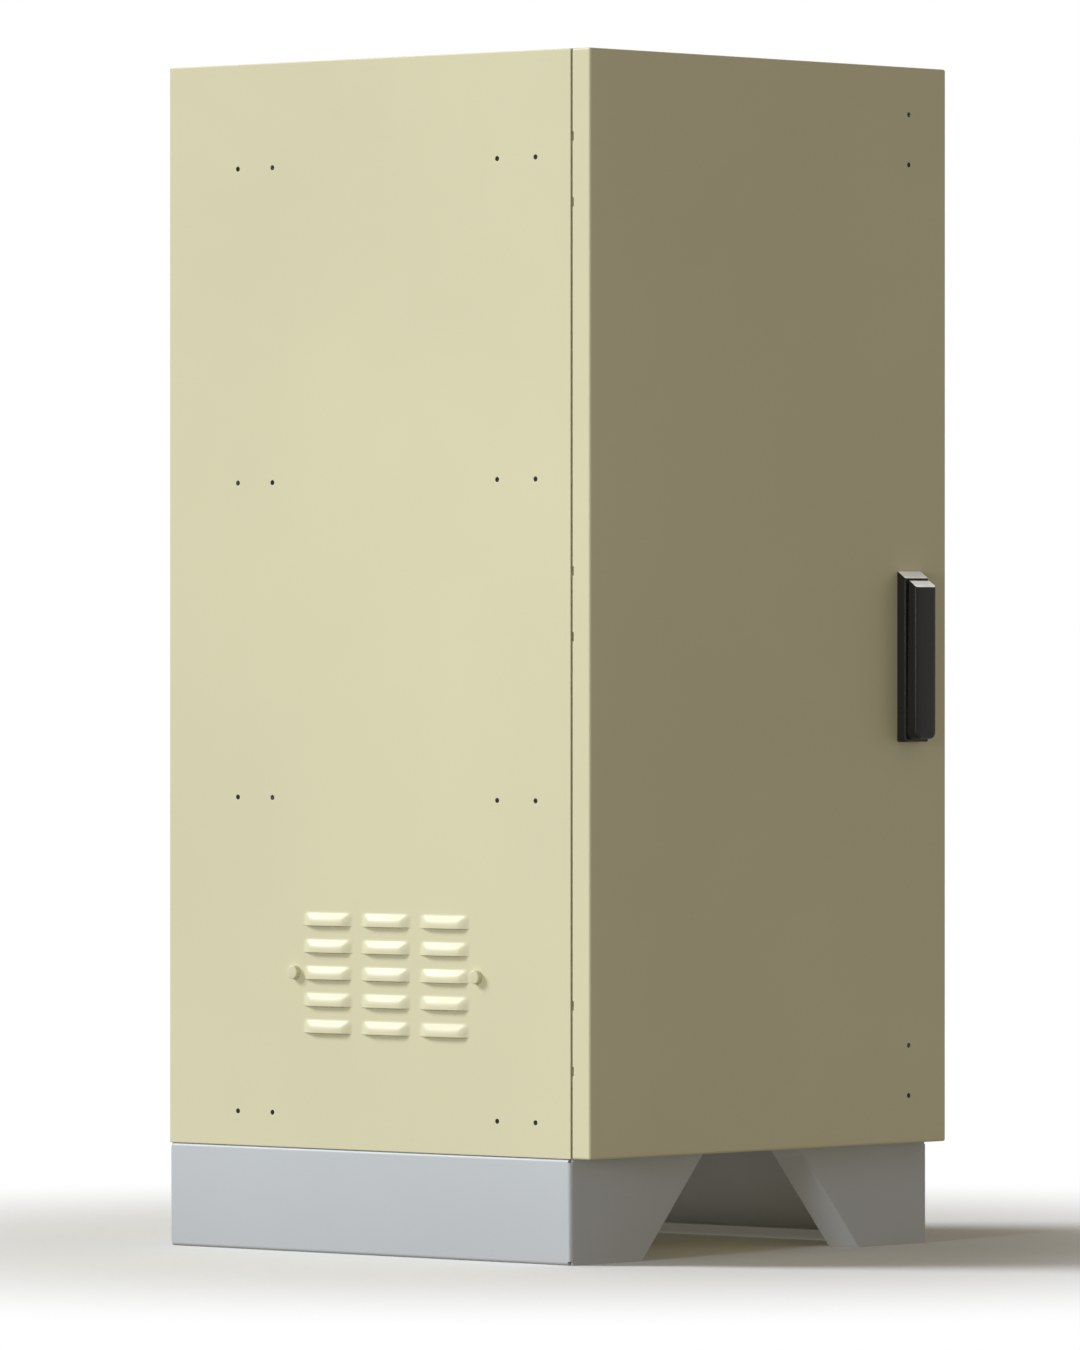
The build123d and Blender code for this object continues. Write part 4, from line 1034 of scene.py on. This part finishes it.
def lever_rings():
    """The lever from its open back forward: a rim that leans away above the pin, walls with a
    little draft, a rounded edge, and a front that swells slightly to its middle."""
    depth = lever_rear - lever_low.y
    rim_top = lever_pin_z + lever_rim_rise
    rings = [(leaning_rim, lever_half, lever_low.z, rim_top, lever_corner, lever_top_corner)]
    side_row = lever_side_share * depth
    edge_start = depth - lever_edge - lever_crown
    rows = [(side_row, lever_draft * side_row)]
    for turn in np.linspace(0, math.pi / 2, lever_edge_lines):
        aside = lever_draft * edge_start + lever_edge * (1 - math.cos(turn))
        rows.append((edge_start + lever_edge * math.sin(turn), aside))
    edge_aside = rows[-1][1]
    for share in lever_front_shares:
        aside = edge_aside + share * (lever_half - edge_aside)
        rows.append((depth - lever_crown * (1 - share) ** 2, aside))
    for forward, aside in rows:
        y = lever_rear - forward
        rings.append(
            (
                flat_at(y),
                lever_half - aside,
                lever_low.z + aside,
                slope_level(y) - max(aside - edge_aside, 0),
                max(lever_corner - aside, 0),
                max(lever_top_corner - aside, 0),
            )
        )
    return rings


housing_mesh = new_mesh("housing_moulding", [moulded_shell(housing_rings())], outward=False)
housing_mesh = thickened(housing_mesh, housing_wall)
new_piece(housing_mesh, "black_plastic", "door", "handle_housing")
lever_mesh = new_mesh("lever_moulding", [moulded_shell(lever_rings())], outward=False)
lever_mesh = thickened(lever_mesh, lever_wall)
new_piece(lever_mesh, "black_plastic", "lever", "handle_lever")

# Handle caps: thin plates of pale satin steel let into the sloped tops of the housing and the lever,
# each cut to the outline of its moulding. They are a painted highlight: their pale metal stands in for
# the bright light on the black sloped tops.
# The pale cap colour is a painted highlight on the handle's sloped tops.
highlight_cap_grey = (0.72, 0.695, 0.66, 1.0)
cap_margin = 0.0005
cap_rise = 0.0004
cap_sink = 0.0003
cap_round = 0.0005
cap_rim_shares = np.array([0, 0.15, 0.4, 0.7, 1.0])
cap_lines = 12
metal_finish("highlight_cap_steel", highlight_cap_grey, grain=700.0, gloss=0.5, edge_width=0.0003)


def sloped_cap(rear, front, half_x, corner):
    """A plate on the slope between two depths. Its half width narrows in a quarter round of the
    corner's radius towards the front, and its rise along the slope's normal falls off at the rim."""
    rim_lines = cap_round * cap_rim_shares
    even_lines = np.linspace(front, rear, cap_lines)
    depths = np.unique(np.concatenate([front + rim_lines, even_lines, rear - rim_lines]))
    nearness = np.clip((front + corner - depths) / corner, 0, 1)
    half = (half_x - corner * (1 - np.sqrt(1 - nearness**2)))[:, None]
    aside = np.concatenate([rim_lines, 2 * half_x - rim_lines[::-1]])
    x = (aside / half_x - 1) * half
    y = np.broadcast_to(depths[:, None], x.shape)
    rim = np.minimum(np.minimum(half - np.abs(x), rear - y), y - front)
    short = np.clip(1 - rim / cap_round, 0, 1)
    rise = cap_rise * np.sqrt(1 - short**2)
    steep = math.hypot(1, slope_share)
    normal = np.array([0, -slope_share / steep, 1 / steep])
    plane = np.stack([lock_x + x, y, slope_level(y)], axis=-1)
    return shell(plane + rise[..., None] * normal, plane - cap_sink * normal)


# The housing cap is a painted highlight on the housing's sloped top.
housing_highlight_cap = sloped_cap(
    door_front - cap_margin, housing_low.y + cap_margin, housing_half - cap_margin, housing_edge
)
new_piece(new_mesh("housing_highlight_cap", [housing_highlight_cap]), "bright_steel", "door", finish="highlight_cap_steel")
# The lever cap is a painted highlight on the lever's sloped top.
lever_top_rear = lever_rear - math.tan(lever_lift) * lever_rim_rise
lever_highlight_cap = sloped_cap(
    lever_top_rear - cap_margin, lever_low.y + 2 * cap_margin, lever_half - cap_margin, lever_edge
)
new_piece(new_mesh("lever_highlight_cap", [lever_highlight_cap]), "bright_steel", "lever", finish="highlight_cap_steel")

# Lock: the spindle goes through the door to a crank in a zinc-plated case, and the crank draws
# two bright steel rods through moulded guides. Two screws hold the case and the housing.
lock_level = 0.715
case_screw_reach = 0.028
finish_nodes("bright_steel", "handle_spindle", "lever_pin", "lock_crank", "upper_rod", "lower_rod")
finish_nodes("zinc_steel", "lock_case", "lock_cover")
finish_nodes("black_plastic", "upper_rod_guide", "lower_rod_guide")
case_screw_low, case_screw_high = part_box("handle_screws")
case_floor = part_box("lock_case")[0].y + wall_sheet
case_screw = round_screw(case_screw_high.y - case_floor, case_floor - case_screw_low.y)
case_places = [(lock_x, case_floor, lock_level + end * case_screw_reach) for end in (-1, 1)]
new_set("case_screw_set", case_screw, (0, 1, 0), case_places, "handle_screws", body="door")

# Studio: a pale floor that turns to plain white away from the cabinet, and a world that is white
# to the camera and in reflections but gives only a soft, slightly warm fill.
studio_floor_reach = 40.0
floor_fade_start = 0.45
floor_fade_end = 1.5
floor_grey = (0.86, 0.86, 0.86, 1.0)
plain_white = (1.0, 1.0, 1.0, 1.0)
fill_light = (0.248, 0.220, 0.176, 1.0)


def seen_directly(tree):
    """1 for a ray straight from the camera, off a gloss or through glass, and 0 for soft light."""
    sight = put(tree, "LightPath", {}).outputs
    mirrored = reckoned(tree, "MAXIMUM", sight["Is Camera Ray"], sight["Is Glossy Ray"])
    return reckoned(tree, "MAXIMUM", mirrored, sight["Is Transmission Ray"])


floor_corners = [(-1, -1), (1, -1), (1, 1), (-1, 1)]
floor_mesh = bpy.data.meshes.new("studio_floor")
floor_mesh.from_pydata(
    [(x * studio_floor_reach, y * studio_floor_reach, 0) for x, y in floor_corners],
    [],
    [(0, 1, 2, 3)],
)
studio_floor = placed("studio_floor", floor_mesh)
studio_floor.visible_diffuse = False
floor_finish = bpy.data.materials.new("studio_floor")
floor_tree = cleared(floor_finish)
from_middle = put(floor_tree, "VectorMath", {0: object_place(floor_tree)}, operation="LENGTH")
fade = ranged(
    floor_tree,
    from_middle.outputs["Value"],
    floor_fade_start,
    floor_fade_end,
    interpolation_type="SMOOTHSTEP",
)
whiteness = reckoned(floor_tree, "MULTIPLY", fade, seen_directly(floor_tree))
matt_floor = put(floor_tree, "BsdfDiffuse", {"Color": floor_grey})
white_floor = put(floor_tree, "Emission", {"Color": plain_white, "Strength": 1.0})
floor_blend = put(
    floor_tree,
    "MixShader",
    {0: whiteness, 1: matt_floor.outputs[0], 2: white_floor.outputs[0]},
)
put(floor_tree, "OutputMaterial", {"Surface": floor_blend.outputs[0]})
floor_mesh.materials.append(floor_finish)

world = bpy.data.worlds.new("studio")
bpy.context.scene.world = world
world_tree = cleared(world)
world_tone = mixed(world_tree, seen_directly(world_tree), fill_light, plain_white)
backdrop = put(world_tree, "Background", {"Color": world_tone, "Strength": 1.0})
put(world_tree, "OutputWorld", {"Surface": backdrop.outputs[0]})

# Lamps: a broad key far off behind on the left, which the louvres catch along their tops, and a
# softbox on the left. Both light the side panel and leave the door in shade.
lamp_colour = (0.92, 0.955, 1.0)
key_place = (-5.0, 6.6, 5.6)
key_target = (0.0, 0.0, 0.0)
key_energy = 2.6
key_angle = math.radians(20.0)
softbox_place = (-4.4, -0.9, 0.9)
softbox_target = (-0.3, 0.1, 0.6)
softbox_energy = 57.0
softbox_size = 0.7


def new_lamp(name, kind, place, target, energy):
    """A lamp of the studio at a place, turned to a target."""
    lamp = bpy.data.lights.new(name, kind)
    lamp.energy = energy
    lamp.color = lamp_colour
    stand = placed(name, lamp)
    stand.location = place
    x, y, z = np.asarray(target) - np.asarray(place)
    lift = math.atan2(z, math.hypot(x, y))
    stand.rotation_euler = (math.pi / 2 + lift, 0, math.atan2(y, x) - math.pi / 2)
    return lamp


key = new_lamp("key", "SUN", key_place, key_target, key_energy)
key.angle = key_angle
softbox = new_lamp("softbox", "AREA", softbox_place, softbox_target, softbox_energy)
softbox.size = softbox_size

# Camera: level with the middle of the cabinet, far off on the left front with a long lens.
camera_place = (-8.9004, -7.9669, 0.6716)
view_heading = math.atan2(0.66757, 0.74454)
view_pitch = math.radians(-0.166)
camera_data = bpy.data.cameras.new("camera")
camera_data.lens = 284.525
camera_data.sensor_width = 36.0
camera_data.clip_end = 200.0
camera = placed("camera", camera_data)
camera.location = camera_place
camera.rotation_euler = (math.pi / 2 + view_pitch, 0, view_heading - math.pi / 2)
bpy.context.scene.camera = camera
bpy.context.scene.view_settings.view_transform = "Standard"
